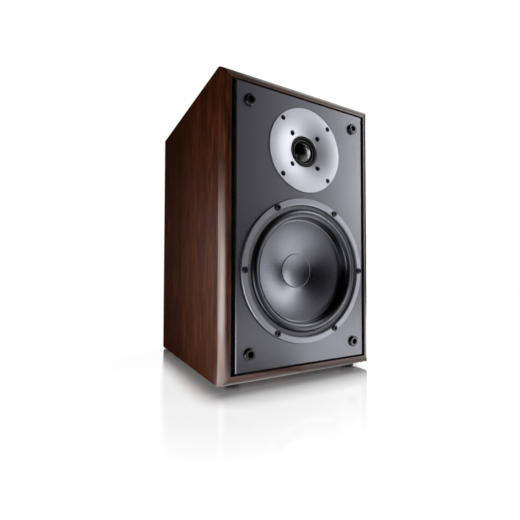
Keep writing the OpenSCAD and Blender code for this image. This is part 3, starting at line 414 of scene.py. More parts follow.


# ---------------------------------------------------------------- cabinet walls
# Four medium-density boards wrapped in dark walnut veneer and mitred at the corners. Their
# front edges are rounded, and the rebate inside them takes the baffle. The rebate's faces,
# which show only in the groove round the baffle, are coloured near black as painted shade.
def walnut(name, along):
    """Straight-grained walnut under a satin lacquer, with its grain along that axis."""
    wood = Finish(name, IOR=1.3, Coat_Weight=0.6, Coat_Roughness=0.27)

    def streaks(count, stretch, detail, shift):
        """Noise that is drawn out along the grain."""
        scale = [count / stretch if axis == along else count for axis in "xyz"]
        return wood.noise(scale, detail, 0.6, at=(shift, shift / 2, shift / 3))

    bands = streaks(26, 40, 3, 0.31)
    flecks = streaks(210, 9, 3, 0.51)
    fibres = streaks(420, 12, 4, 0.77)
    pores = streaks(700, 16, 2, 0.13).rising(0.56, 0.66)
    colour = wood.tones(
        bands * 0.2 + flecks * 0.4 + fibres * 0.4,
        (0.38, tint("200a00")),
        (0.46, tint("351401")),
        (0.54, tint("4b2007")),
        (0.62, tint("622d10")),
    )
    wood.plug("Base Color", wood.mix(pores * 0.6, colour, tint("160905")))
    wood.plug("Roughness", 0.27 + 0.08 * fibres + 0.22 * pores)
    wood.relief(fibres * 0.4 - pores, 0.05, 0.5)
    return wood


def fibreboard():
    """The sawn face of the board: packed fibres, pale brown."""
    board = Finish("fibreboard")
    specks = board.noise(900, 3, 0.7)
    clouds = board.noise(40, 3)
    board.plug(
        "Base Color",
        board.tones(
            specks * 0.6 + clouds * 0.4,
            (0.3, tint("8a6b48")),
            (0.55, tint("a88861")),
            (0.75, tint("bfa27a")),
        ),
    )
    board.grained(specks, 0.75, 0.2, 0.15, 0.6)
    return board


def painted_rebate_shade():
    """Near-black brown over board on the rebate's faces in the groove round the baffle: painted shade."""
    stain = Finish("painted_rebate_shade")
    fibres = stain.noise(700, 3)
    stain.plug("Base Color", stain.mix(fibres, tint("1a0d07"), tint("2e190e")))
    stain.grained(fibres, 0.6, 0.3, 0.05, 0.4)
    return stain


upright_walnut = walnut("walnut_upright", "z")
level_walnut = walnut("walnut_level", "x")
raw_board = fibreboard()
rebate_shade = painted_rebate_shade()


def spot(node):
    """A part's lowest corner, highest corner and middle, in millimetres."""
    low, high = [v * 1000 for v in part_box(node)]
    return low, high, (low + high) / 2


def stand_in(made, slot, body, *nodes):
    """The piece is shown in place of those parts and moves with that body. The slot is not used."""
    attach(made, body)
    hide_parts(*nodes)
    return made


def bevelled(bm, edges, width, segments):
    """Rounds those edges to that width."""
    bmesh.ops.bevel(
        bm,
        geom=edges,
        offset=width,
        offset_type="OFFSET",
        segments=segments,
        profile=0.5,
        affect="EDGES",
        material=-1,
    )


def wall(node, finish):
    """One wall: its section runs along the grain and is cut off at 45 degrees at both ends."""
    low, high, centre = spot(node)
    sideways = "side" in node
    width, run = (high.x - low.x, high.z - low.z) if sideways else (high.z - low.z, high.x - low.x)
    front, back = low.y, high.y
    rounding, lap, rear_board, baffle_edge = 11, 6, 17, 12
    rebate = baffle_face + baffle_edge
    dark, bare = 1, 2
    section = [
        (0, front),
        (rounding, front),
        (rounding, rebate),
        (width, rebate),
        (width, back - rear_board),
        (width - lap, back - rear_board),
        (width - lap, back),
        (0, back),
    ]
    bm = bmesh.new()
    outline = bm.faces.new([bm.verts.new((across, y, -run / 2)) for across, y in section])
    grown = bmesh.ops.extrude_face_region(bm, geom=[outline])
    far_end = [v for v in grown["geom"] if isinstance(v, bmesh.types.BMVert)]
    bmesh.ops.translate(bm, vec=(0, 0, run), verts=far_end)
    arris = [e for e in bm.edges if all(v.co.x == 0 and v.co.y == front for v in e.verts)]
    bevelled(bm, arris, rounding, 16)
    bmesh.ops.remove_doubles(bm, verts=bm.verts, dist=0.001)
    for end in (-1, 1):
        cut = bmesh.ops.bisect_plane(
            bm,
            geom=bm.verts[:] + bm.edges[:] + bm.faces[:],
            dist=0.0001,
            plane_co=(0, 0, end * run / 2),
            plane_no=(1, 0, end),
            clear_outer=True,
        )
        rim = [e for e in cut["geom_cut"] if isinstance(e, bmesh.types.BMEdge)]
        bmesh.ops.edgeloop_fill(bm, edges=rim)
    for face in bm.faces:
        middle, near = face.calc_center_median(), 0.1
        if abs(face.normal.z) > 0.5 and abs(face.normal.x) > 0.5:
            face.material_index = bare
        # Painted shade: the rebate's faces in the groove round the baffle take the near-black finish.
        elif middle.x > rounding - near and middle.y < rebate + near:
            face.material_index = dark
        elif middle.x > width - lap - near and middle.y > rebate:
            face.material_index = bare
    inward = 1 if node in ("side_panel_left", "bottom_panel") else -1
    outside = (low if inward > 0 else high)["xyz".index("x" if sideways else "z")]
    if sideways:
        stand = Matrix(((inward, 0, 0, outside), (0, 1, 0, 0), (0, 0, 1, centre.z), (0, 0, 0, 1)))
    else:
        stand = Matrix(((0, 0, 1, centre.x), (0, 1, 0, 0), (inward, 0, 0, outside), (0, 0, 0, 1)))
    bmesh.ops.transform(bm, matrix=stand, verts=bm.verts)
    bmesh.ops.recalc_face_normals(bm, faces=bm.faces)
    made = dress(bm, node + "_veneered", finish, rebate_shade, raw_board)
    soften = made.modifiers.new("arrises", "BEVEL")
    soften.width = 0.00018
    soften.segments = 2
    soften.limit_method = "ANGLE"
    soften.angle_limit = math.radians(40)
    walls.objects.link(made)
    stand_in(made, "dark_veneer", "cabinet", node)


wall("side_panel_left", upright_walnut)
wall("side_panel_right", upright_walnut)
wall("top_panel", level_walnut)
wall("bottom_panel", level_walnut)


# ---------------------------------------------------------------- rear panel
# A veneered board let into the back, glued in its rebate. It has a round hole for the port
# and a square one for the terminal cup.
def carried(node, finish):
    """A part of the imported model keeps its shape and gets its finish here."""
    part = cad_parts[node]
    part.data.materials.clear()
    part.data.materials.append(finish.material)


carried("rear_panel", upright_walnut)


# ---------------------------------------------------------------- front baffle
# A board with a tongue behind it, sprayed with a fine satin anthracite lacquer. Its edges are
# eased, and the drivers and the grille's sockets are let into it.
def anthracite_lacquer():
    """Fine metallic grit in a satin anthracite lacquer."""
    lacquer = Finish("anthracite_lacquer", IOR=1.5)
    grit = lacquer.noise(2600, 2, 0.6)
    clouds = lacquer.noise(9, 3)
    tone = grit * 0.75 + clouds * 0.25
    lacquer.plug(
        "Base Color",
        lacquer.tones(tone, (0.3, tint("4c4c53")), (0.5, tint("5a5a61")), (0.72, tint("6b6b74"))),
    )
    lacquer.plug("Metallic", 0.48 + 0.3 * grit.rising(0.4, 0.65))
    lacquer.grained(grit, 0.20, 0.12, 0.03, 0.35)
    return lacquer


carried("front_baffle", anthracite_lacquer())


# ---------------------------------------------------------------- brace and wadding
# A fibreboard frame braces the walls half way up. White polyester wadding lines the walls
# above and below it.
def wadding():
    """Curled white fibres in soft clumps."""
    fluff = Finish("white_wadding", Sheen_Weight=0.4, Sheen_Roughness=0.6)
    curls = fluff.noise(260, 4, 0.7)
    clumps = fluff.noise(45, 3)
    tone = curls * 0.6 + clumps * 0.4
    fluff.plug("Base Color", fluff.tones(tone, (0.3, tint("c9c8c0")), (0.7, tint("f1f0ea"))))
    fluff.plug("Roughness", 0.85 + 0.15 * curls)
    fluff.relief(curls + clumps, 1.2, 0.8)
    return fluff


def copied(node):
    """A copy of a part's shape in millimetres, with its loose triangles joined."""
    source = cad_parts[node]
    bm = bmesh.new()
    bm.from_mesh(source.data)
    bmesh.ops.transform(bm, matrix=source.matrix_world, verts=bm.verts)
    bmesh.ops.remove_doubles(bm, verts=bm.verts, dist=0.00001)
    bmesh.ops.scale(bm, vec=(1000, 1000, 1000), verts=bm.verts)
    return bm


def fluffed(node, finish):
    """Loose wadding that fills the part's outline, with rounded edges and clumps."""
    clump_size, clump_depth = 21, 1.9
    tuft_size, tuft_depth = 6.5, 1.3
    nap, least = 2.2, 0.3
    block = dress(copied(node), node + "_block", finish)
    voxels = block.modifiers.new("voxels", "REMESH")
    voxels.mode = "VOXEL"
    voxels.voxel_size = 0.0035
    bpy.context.view_layer.update()
    grown = bpy.data.meshes.new_from_object(
        block.evaluated_get(bpy.context.evaluated_depsgraph_get())
    )
    bm = bmesh.new()
    bm.from_mesh(grown)
    bpy.data.objects.remove(block)
    bpy.data.meshes.remove(grown)
    bmesh.ops.scale(bm, vec=(1000, 1000, 1000), verts=bm.verts)
    for _ in range(5):
        bmesh.ops.smooth_vert(
            bm, verts=bm.verts, factor=0.5, use_axis_x=True, use_axis_y=True, use_axis_z=True
        )
    bm.normal_update()
    for vert in bm.verts:
        clumps = clump_depth * noise.noise(vert.co / clump_size)
        tufts = tuft_depth * noise.noise(vert.co / tuft_size)
        vert.co -= vert.normal * max(least, nap + clumps + tufts)
    return dress(bm, node + "_fleece", finish, sharp=180)


carried("brace_shelf", raw_board)
fleece = wadding()
for node in ("upper_wadding", "lower_wadding"):
    made = stand_in(fluffed(node, fleece), "white_wadding", "cabinet", node)


# ---------------------------------------------------------------- feet
# Four moulded rubber feet under the bottom panel's corners. Each is held by a plated steel
# screw, whose head is sunk in its middle.
def rubber(name, dark, light, gloss):
    """Moulded rubber with a fine skin."""
    skin = Finish(name, IOR=1.45)
    grain = skin.noise(1500, 3, 0.6)
    bloom = skin.noise(60, 3)
    skin.two_tone(grain, bloom, 0.4, dark, light)
    skin.grained(grain, gloss, 0.15, 0.03, 0.5)
    return skin


def plated_steel(name, dark, light, rough):
    """Plated steel with fine marks from the press or the lathe."""
    plate = Finish(name, Metallic=1.0)
    marks = plate.noise(900, 3, 0.7)
    stains = plate.noise(120, 2)
    plate.two_tone(marks, stains, 0.4, dark, light)
    plate.grained(marks, rough, 0.18, 0.01, 0.4)
    return plate


def turned(profile, at, axis="y", steps=128, bm=None):
    """A ring or a cup: (radius, distance) points, spun about the axis through at."""
    bm = bm or bmesh.new()
    along = Vector([float(name == axis) for name in "xyz"])
    across = Vector((0, 0, 1)) if axis == "x" else Vector((1, 0, 0))
    line = [bm.verts.new(Vector(at) + across * r + along * d) for r, d in profile]
    ends = line[1:] + line[:1] if profile[0][0] > 0 else line[1:]
    edges = [bm.edges.new(pair) for pair in zip(line, ends)]
    bmesh.ops.spin(
        bm,
        geom=line + edges,
        cent=at,
        axis=along,
        angle=2 * math.pi,
        steps=steps,
        use_merge=True,
    )
    bmesh.ops.remove_doubles(bm, verts=bm.verts, dist=0.0005)
    bmesh.ops.recalc_face_normals(bm, faces=bm.faces)
    return bm


def rubber_feet():
    """A tapered foot with a groove round it and a step for the screw's head, four times."""
    low, high, _ = spot("feet")
    outer, shank, head, floor = 9.0, 1.55, 3.2, 3.5
    profile = [
        (head + 0.3, 0),
        (outer - 1.3, 0),
        (outer - 0.95, 0.15),
        (outer - 0.8, 0.55),
        (outer - 0.55, 2.5),
        (outer - 0.75, 2.65),
        (outer - 0.75, 2.95),
        (outer - 0.45, 3.1),
        (outer - 0.1, 5.0),
        (outer - 0.3, 5.5),
        (shank, 5.5),
        (shank, floor),
        (head, floor),
        (head, 0.3),
    ]
    bm = bmesh.new()
    for x in (low.x + outer, high.x - outer):
        for y in (low.y + outer, high.y - outer):
            turned(profile, (x, y, low.z), "z", 64, bm)
    return dress(bm, "rubber_feet", foot_rubber)


foot_rubber = rubber("foot_rubber", "0b0b0c", "151515", 0.55)
zinc = plated_steel("zinc_plate", "9a9c9e", "c3c5c6", 0.28)
black_steel = plated_steel("blackened_steel", "0c0c0d", "1d1d20", 0.30)
stand_in(rubber_feet(), "black_rubber", "cabinet", "feet")
carried("foot_screws", zinc)


# ---------------------------------------------------------------- grille sockets
# Four moulded sockets of polished black plastic, pushed into the baffle's corners. The pins
# of a cloth grille plug into them.
def moulded_plastic(name, dark, light, rough):
    """Moulded plastic with a faint flow texture."""
    plastic = Finish(name, IOR=1.49)
    flow = plastic.noise(150, 3)
    grain = plastic.noise(2200, 2)
    plastic.two_tone(grain, flow, 0.5, dark, light)
    plastic.grained(grain, rough, 0.12, 0.02, 0.4)
    return plastic


black_plastic = moulded_plastic("black_plastic", "101012", "1c1c1f", 0.32)
carried("grille_sockets", moulded_plastic("polished_plastic", "050506", "0b0b0d", 0.08))


# ---------------------------------------------------------------- tweeter faceplate
# A turned and blasted aluminium plate with a shallow dish, let into the baffle by 2 mm. Four
# outer screws hold it to the baffle, and four inner ones hold the motor to its back.
def satin_aluminium(name, dark, light, rough):
    """Blasted and clear-anodised aluminium."""
    metal = Finish(name, Metallic=0.6)
    grain = metal.noise(3200, 2, 0.6)
    clouds = metal.noise(70, 3)
    metal.two_tone(grain, clouds, 0.6, dark, light)
    metal.grained(grain, rough, 0.14, 0.02, 0.4)
    return metal


plate_metal = satin_aluminium("plate_aluminium", "a4a4ae", "bebec7", 0.36)
carried("tweeter_faceplate", plate_metal)


# ---------------------------------------------------------------- tweeter screws
# Four black countersunk screws with hexagon sockets hold the plate to the baffle. Four small
# cap screws round the throat hold the motor to the plate.
carried("tweeter_screws", black_steel)
carried("tweeter_motor_screws", black_steel)


# ---------------------------------------------------------------- tweeter dome
# A coated silk dome glued to its voice coil, and the half roll of silk that carries it. Both
# sit in a moulded frame behind the plate's throat.
def coated_silk():
    """Black silk, woven from about 90 threads to the inch and coated for damping."""
    silk = Finish("coated_silk", IOR=1.42)
    weave = {"Vector": silk.place((3600, 3600, 3600)), "Scale": 1.0}
    threads = silk.node("ShaderNodeTexVoronoi", {"feature": "F1"}, weave)
    cloud = silk.noise(400, 2)
    silk.plug("Base Color", silk.mix(cloud, tint("030304"), tint("0a0a0b")))
    silk.grained(threads, 0.12, 0.10, 0.02, 0.4)
    return silk


def arc(middle, radius, first, last, count):
    """Points on an arc in a profile, the angles in degrees from the outward direction."""
    turns = [math.radians(first + (last - first) * i / count) for i in range(count + 1)]
    return [(middle[0] + radius * math.cos(a), middle[1] + radius * math.sin(a)) for a in turns]


def flexes(made, node, body, still, moving):
    """A ring that stays with the cabinet at radius still and with the body at radius moving."""
    centre = spot(node)[2]
    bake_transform(made, "cabinet", body, (still / 1000, 0, 0), (moving / 1000, 0, 0))
    weights = made.data.attributes["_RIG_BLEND"].data
    for vert in made.data.vertices:
        radius = math.hypot(vert.co.x, vert.co.z - centre.z / 1000) * 1000
        share = min(1, max(0, (still - radius) / (still - moving)))
        weights[vert.index].value = share * share * (3 - 2 * share)
    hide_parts(node)


def round_part(node):
    """A round part's radius, its depth and the middle of its front, in millimetres."""
    low, high, middle = spot(node)
    return (high.x - low.x) / 2, high.y - low.y, Vector((middle.x, low.y, middle.z))


def silk_dome():
    """The cap, with a bead of glue where it meets the coil."""
    radius, depth, at = round_part("tweeter_dome")
    thick = 0.3
    rise = depth - thick
    ball = (radius * radius + rise * rise) / (2 * rise)
    edge = math.degrees(math.asin(radius / ball))
    outer = arc((0, ball), ball, -90, -90 + edge, 36)
    inner = arc((0, ball), ball - thick, -90 + edge * 0.985, -90, 36)
    outer[0] = (0, outer[0][1])
    inner[-1] = (0, inner[-1][1])
    bead = [(radius, rise + 0.1), (radius - 0.02, rise + 0.28), (radius - 0.3, rise + 0.3)]
    bm = turned(outer[:-1] + bead + inner, at, steps=96)
    made = dress(bm, "silk_dome", silk)
    silk_parts.objects.link(made)
    return made


def silk_roll():
    """The half roll between the frame's ledge and the coil, with its flat glued edge."""
    outer, depth, at = round_part("tweeter_surround")
    roll, thick, edge, width = 1.15, 0.25, 0.3, 3.2
    base = depth - edge
    centre = outer - width + roll
    crown = arc((centre, base), roll, 0, -180, 20)
    under = arc((centre, base + edge), roll - thick, -180, 0, 20)
    profile = [(outer, base + edge), (outer, base)] + crown + [(centre - roll, base + edge)] + under
    return dress(turned(profile, at, steps=96), "silk_roll", silk)


silk = coated_silk()
stand_in(silk_dome(), "black_silk", "tweeter_dome", "tweeter_dome")
flexes(silk_roll(), "tweeter_surround", "tweeter_dome", still=14.9, moving=12.7)
frame_plastic = moulded_plastic("frame_plastic", "030303", "080809", 0.50)
frame_plastic.shader.inputs["IOR"].default_value = 1.3
carried("tweeter_coil_frame", frame_plastic)


# ---------------------------------------------------------------- tweeter motor
# A copper coil on its former, a zinc-plated top plate and yoke with a ferrite ring between
# them, and two gilt tabs.
def copper_wire():
    """Close turns of enamelled copper wire."""
    copper = Finish("copper_wire", Metallic=0.9, Coat_Weight=0.6, Coat_Roughness=0.12)
    turns = copper.node(
        "ShaderNodeTexWave",
        {"wave_type": "BANDS", "bands_direction": "Z"},
        {"Vector": copper.place((1, 1, 1)), "Scale": 380.0, "Distortion": 0.4},
        output="Fac",
    )
    tarnish = copper.noise(220, 3)
    copper.two_tone(turns, tarnish, 0.4, "8a3c16", "d07a44")
    copper.plug("Roughness", 0.25 + 0.2 * tarnish)
    copper.relief(turns, 0.15, 0.8)
    return copper


def ferrite():
    """Sintered ferrite: dark grey, slightly rough, with tiny pits."""
    magnet = Finish("ferrite", IOR=1.6)
    pits = magnet.noise(1100, 3, 0.7)
    marks = magnet.noise(90, 3)
    magnet.two_tone(pits, marks, 0.5, "1f1f21", "38383b")
    magnet.grained(pits, 0.55, 0.25, 0.08, 0.5)
    return magnet


copper = copper_wire()
dark_ferrite = ferrite()
gilt = plated_steel("gilt_brass", "b98a3a", "e6c272", 0.22)


def wound(start, end, inner, pitch, outer):
    """A coil's section: flat inside, and one half round for each turn outside."""
    turns = max(1, round((end - start) / pitch))
    step = (end - start) / turns
    rounds = []
    for i in range(turns):
        mid = start + (i + 0.5) * step
        rounds += arc((outer - step / 2, mid), step / 2, -75, 75, 4)
    return [(inner, start)] + rounds + [(inner, end)]


def tweeter_coil():
    """A thin former, and fine wire round its back half."""
    outer, length, at = round_part("tweeter_voice_coil")
    wire, first_turn, last_turn = 0.2, length - 3.3, length - 0.9
    bare, bore = outer - 0.4, outer - 0.5
    former = [(bore, 0), (bare, 0), (bare, length), (bore, length)]
    bm = turned(former, at, steps=96)
    turned(wound(first_turn, last_turn, bare, wire, outer), at, steps=96, bm=bm)
    return dress(bm, "tweeter_coil", copper, sharp=60)


stand_in(tweeter_coil(), "copper_wire", "tweeter_dome", "tweeter_voice_coil")
carried("tweeter_top_plate", zinc)
carried("tweeter_yoke", zinc)
carried("tweeter_magnet", dark_ferrite)
carried("tweeter_tabs", gilt)


# ---------------------------------------------------------------- woofer basket
# A cast basket with windows, enamelled black, that carries the whole driver. Its flange is
# seated on a foam gasket in the baffle.
def enamelled_casting():
    """Sand-textured black enamel on a die casting."""
    enamel = Finish("black_casting", IOR=1.5)
    skin = enamel.noise(700, 3, 0.7)
    dust = enamel.noise(50, 3)
    enamel.two_tone(skin, dust, 0.5, "131314", "26262a")
    enamel.grained(skin, 0.42, 0.2, 0.1, 0.6)
    return enamel


def foam_gasket():
    """A strip of open-cell foam, squeezed between the basket's flange and the baffle."""
    outer, thick, at = round_part("woofer_foam_gasket")
    inner, ease, strips, cell, pit = outer - 10.6, 0.3, 11, 1.7, 0.06
    across = [inner + ease + (outer - inner - 2 * ease) * i / strips for i in range(strips + 1)]
    profile = [(r, 0) for r in across] + [(outer, ease), (outer, thick - ease)]
    profile += [(r, thick) for r in reversed(across)] + [(inner, thick - ease), (inner, ease)]
    bm = turned(profile, at, steps=256)
    for vert in bm.verts:
        dent = pit * (1 + noise.noise(vert.co / cell))
        vert.co.y += dent if vert.co.y < at.y + thick / 2 else -dent
    made = dress(bm, "foam_gasket", rubber("gasket_foam", "0c0c0c", "1f1f1f", 0.8), sharp=180)
    stand_in(made, "black_foam", "cabinet", "woofer_foam_gasket")


carried("woofer_basket", enamelled_casting())
foam_gasket()


# ---------------------------------------------------------------- woofer cone
# A deep-drawn cone of grey, mica-filled polypropylene, with a dished cap of the same stuff
# over the voice coil.
rim_r, rim_depth, neck_r, cone_wall = 60.2, 9.5, 13.0, 0.9
rim_slope, neck_slope = math.radians(8), math.radians(25)


def cone_depth(radius):
    """Depth of the cone's front behind the baffle's face."""
    bend = (rim_r - neck_r) / (math.sin(neck_slope) - math.sin(rim_slope))
    slope = math.asin(math.sin(rim_slope) + (rim_r - radius) / bend)
    return rim_depth + bend * (math.cos(rim_slope) - math.cos(slope))


def filled_polypropylene():
    """Grey plastic that glints like satin metal, because it is full of mica flakes."""
    grey = Finish("cone_grey", IOR=1.5)
    flakes = grey.noise(2400, 2, 0.6)
    clouds = grey.noise(40, 3)
    grey.two_tone(flakes, clouds, 0.6, "4c4c52", "62626a")
    grey.plug("Metallic", 0.90 + 0.10 * flakes.rising(0.4, 0.6))
    grey.grained(flakes, 0.23, 0.08, 0.02, 0.4)
    return grey


def drawn_cone():
    """The cone from its rim to its neck, with an eased edge."""
    middle = spot("woofer_cone")[2]
    ease, count = 0.25, 60
    wide = rim_r - ease
    radii = [wide - (wide - neck_r) * i / count for i in range(count + 1)]
    front = [(r, cone_depth(r)) for r in radii]
    back = [(r, cone_depth(r) + cone_wall) for r in reversed(radii)]
    edge = [(rim_r, rim_depth + cone_wall - ease), (rim_r, rim_depth + ease)]
    bm = turned(front + back + edge, (middle.x, baffle_face, middle.z), steps=160)
    made = dress(bm, "drawn_cone", cone_grey)
    cone_parts.objects.link(made)
    return made


def dished_cap():
    """A shallow bowl with a low lip, which is glued on the cone."""
    low, high, middle = spot("woofer_dust_cap")
    outer, dish, thick, shoulder, step = (high.x - low.x) / 2, 2.6, 0.4, 0.6, 0.45
    foot = cone_depth(outer) - 0.05
    rim = max(low.y - baffle_face, foot - step)
    lip = outer - shoulder
    ball = (lip * lip + dish * dish) / (2 * dish)

    def bowl(radius, behind):
        """A point of the bowl at that radius, so far behind its front."""
        return (radius, rim + dish - ball + math.sqrt(ball * ball - radius * radius) + behind)

    front = [bowl(lip * i / 30, 0) for i in range(31)]
    drop = foot - 0.3 - rim
    edge = [(lip + shoulder * i / 4, rim + drop * (i / 4) ** 2) for i in range(1, 5)]
    underside = [(outer, foot), (lip, foot)]
    back = [bowl(lip * (30 - i) / 30, thick) for i in range(2, 31)]
    at = (middle.x, baffle_face, middle.z)
    return dress(turned(front + edge + underside + back, at), "dished_cap", cone_grey)


cone_grey = filled_polypropylene()
stand_in(drawn_cone(), "grey_cone", "woofer_cone", "woofer_cone")
stand_in(dished_cap(), "grey_cone", "woofer_cone", "woofer_dust_cap")


# ---------------------------------------------------------------- woofer surround
# A half roll of black rubber. Its flange is clamped between the basket and a grey card ring,
# and its lip is glued on the cone and sprayed over with it.
def rubber_roll():
    """The roll from its clamped flange in to the lip on the cone, and back on its underside."""
    low, high, middle = spot("woofer_surround")
    outer, thick, foot, glue = (high.x - low.x) / 2, 0.7, 1.5, 0.03
    clamped, inside, lip, glued = outer - 4.4, outer - 15.2, rim_r - 3.2, rim_r - 1.6
    centre, roll = (clamped + inside) / 2, (clamped - inside) / 2
    crown = arc((centre, foot), roll, 0, -180, 44)
    under = arc((centre, foot + thick), roll - thick, -180, 0, 44)
    heel = arc((inside - 0.6, rim_depth - 1.35), 0.6, 0, 90, 5)
    lip_front = [
        (r, cone_depth(r) - 0.5) for r in (inside - 1.1, inside - 2, inside - 3, lip + 0.25)
    ]
    lip_edge = [(lip, cone_depth(lip) - 0.3), (lip, cone_depth(lip) - glue)]
    lip_back = [(glued, cone_depth(glued) - glue), (rim_r, rim_depth - glue)]
    riser = [(inside + thick, rim_depth - 0.1), (inside + thick, foot + thick + 0.1)]
    profile = [(outer, foot)] + crown + heel + lip_front + lip_edge + lip_back + riser + under
    profile += [(outer, foot + thick)]
    bm = turned(profile, (middle.x, baffle_face, middle.z), steps=160)
    for face in bm.faces:
        spot_on_face = face.calc_center_median()
        radius = math.hypot(spot_on_face.x - middle.x, spot_on_face.z - middle.z)
        if radius < inside - 0.5 and face.normal.y < 0.2:
            face.material_index = 1
    made = dress(bm, "rubber_roll", surround_rubber, cone_grey)
    cone_parts.objects.link(made)
    return made


def card_ring():
    """A flat ring of card with eased front edges."""
    outer, thick, at = round_part("woofer_clamp_ring")
    inner, ease = outer - 4.5, 0.25
    profile = [(inner + ease, 0), (outer - ease, 0), (outer, ease)]
    profile += [(outer, thick), (inner, thick), (inner, ease)]
    bm = turned(profile, at, steps=160)
    return dress(bm, "card_ring", moulded_plastic("grey_card", "5c5c62", "74747b", 0.55))


surround_rubber = rubber("surround_rubber", "030303", "070708", 0.22)
surround_rubber.shader.inputs["IOR"].default_value = 1.6
surround_rubber.shader.inputs["Specular Tint"].default_value = (0.84, 0.86, 1.0, 1.0)
flexes(rubber_roll(), "woofer_surround", "woofer_cone", still=71.5, moving=61.2)
stand_in(card_ring(), "grey_card", "cabinet", "woofer_clamp_ring")


# ---------------------------------------------------------------- woofer spider and coil
# A corrugated ring of resin-stiffened cloth centres the cone's neck. The coil is wound on an
# aluminium former.
def resin_cloth():
    """Open-weave cotton, stiff with amber resin."""
    cloth = Finish("amber_cloth")
    waves = [
        cloth.node(
            "ShaderNodeTexWave",
            {"wave_type": "BANDS", "bands_direction": axis},
            {"Vector": cloth.place((1, 1, 1)), "Scale": 420.0, "Distortion": 0.6},
            output="Fac",
        )
        for axis in "XZ"
    ]
    weave = waves[0].larger(waves[1])
    cloth.plug("Base Color", cloth.mix(weave, tint("8a6226"), tint("d3a657")))
    cloth.grained(weave, 0.7, 0.2, 0.12, 0.7)
    return cloth


def corrugated_spider():
    """Five pressed waves, flat where the edge and the neck are glued."""
    low, high, middle = spot("woofer_spider")
    outer, thick, wave, waves = (high.x - low.x) / 2, 0.5, 1.2, 5
    depth = high.y - thick - baffle_face
    first, last, steps = neck_r + 3, outer - 3.5, 100
    line = [(neck_r, depth)]
    for i in range(steps + 1):
        swing = wave * (math.cos(2 * math.pi * waves * i / steps) - 1)
        line.append((first + (last - first) * i / steps, depth + swing))
    line.append((outer, depth))
    back = [(r, d + thick) for r, d in reversed(line)]
    bm = turned(line + back, (middle.x, baffle_face, middle.z), steps=144)
    return dress(bm, "corrugated_spider", resin_cloth(), sharp=50)


def woofer_coil():
    """Thick wire wound close on the former."""
    outer, length, at = round_part("woofer_winding")
    layers, wire = 0.72, 0.34
    bm = turned(wound(0, length, outer - layers, wire, outer), at, steps=96)
    return dress(bm, "woofer_coil", copper, sharp=60)


flexes(corrugated_spider(), "woofer_spider", "woofer_cone", still=46, moving=16)
carried("woofer_former", plated_steel("bare_aluminium", "b7b9bc", "dadbde", 0.25))
stand_in(woofer_coil(), "copper_wire", "woofer_cone", "woofer_winding")


# ---------------------------------------------------------------- woofer motor
# A zinc-plated top plate and a yoke with a vented pole, and a ferrite ring between them.
# Four rivets hold the top plate to the basket.
carried("woofer_top_plate", zinc)
carried("woofer_yoke", zinc)
carried("woofer_magnet", dark_ferrite)
carried("woofer_rivets", zinc)


# ---------------------------------------------------------------- woofer terminals
# A strip of brown laminate with two gilt tabs on the basket, and the braided leads that run
# from them to the back of the cone.
def laminate(name, dark, light):
    """Resin laminate with a woven core."""
    sheet = Finish(name, IOR=1.5)
    weave = sheet.noise(900, 2)
    tone = sheet.noise(60, 3)
    sheet.two_tone(weave, tone, 0.4, dark, light)
    sheet.grained(weave, 0.42, 0.15, 0.03, 0.4)
    return sheet


carried("woofer_terminal_strip", laminate("brown_laminate", "5a3216", "7e4c26"))
carried("woofer_tabs", gilt)


def heading(points, i):
    """Which way a line of points runs at its point i."""
    return points[min(i + 1, len(points) - 1)] - points[max(i - 1, 0)]


def tube(bm, points, radius, sides):
    """A closed round bar along the points, which never run along x."""
    rings = []
    for i, point in enumerate(points):
        ahead = heading(points, i)
        side = ahead.cross(Vector((1, 0, 0))).normalized()
        up = side.cross(ahead).normalized()
        turns = [2 * math.pi * k / sides for k in range(sides)]
        rings.append(
            [bm.verts.new(point + radius * (math.cos(a) * side + math.sin(a) * up)) for a in turns]
        )
    for near, far in zip(rings, rings[1:]):
        for k in range(sides):
            n = (k + 1) % sides
            bm.faces.new((near[k], near[n], far[n], far[k]))
    bm.faces.new(rings[0])
    bm.faces.new(rings[-1])


def smoothed(points, steps):
    """A curve through the points."""
    ends = [2 * points[0] - points[1]] + points + [2 * points[-1] - points[-2]]
    line = []
    for before, start, end, after in zip(ends, ends[1:], ends[2:], ends[3:]):
        for i in range(steps):
            t = i / steps
            bend = 2 * before - 5 * start + 4 * end - after
            twist = 3 * start - before - 3 * end + after
            line.append(0.5 * (2 * start + (end - before) * t + bend * t**2 + twist * t**3))
    return line + [points[-1]]


def braided_leads():
    """Two ropes of three tinsel strands, each from behind the cone up to its tab."""
    low, high, _ = spot("woofer_leads")
    centre = spot("woofer_cone")[2].z
    front, rope, strand, twist, lay = baffle_face, 0.6, 0.3, 0.28, 2.6
    start, end = 25, high.z - centre
    span = end - start
    heights = [start, start + 4] + [start + span * n / 45 for n in (16, 26, 36)]
    heights += [end - 3, end]
    first = cone_depth(math.hypot(start, high.x - rope) + rope) + cone_wall + 0.3
    depths = [first, first + 4, 26.8, 27.2, 25.4, 22.5, 22]
    bm = bmesh.new()
    for x in (low.x + rope, high.x - rope):
        route = smoothed([Vector((x, front + d, centre + h)) for d, h in zip(depths, heights)], 20)
        for turn in range(3):
            points, run = [], 0.0
            for i, point in enumerate(route):
                run += (point - route[max(i - 1, 0)]).length
                side = heading(route, i).cross(Vector((1, 0, 0))).normalized()
                angle = 2 * math.pi * (run / lay + turn / 3)
                out = math.cos(angle) * side + math.sin(angle) * Vector((1, 0, 0))
                points.append(point + twist * out)
            tube(bm, points, strand, 6)
    bmesh.ops.recalc_face_normals(bm, faces=bm.faces)
    made = dress(bm, "braided_leads", copper, sharp=60)
    moving, still = (centre + start + 3) / 1000, (centre + end - 3) / 1000
    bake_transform(made, "woofer_cone", "cabinet", (0, 0, moving), (0, 0, still))
    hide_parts("woofer_leads")


braided_leads()


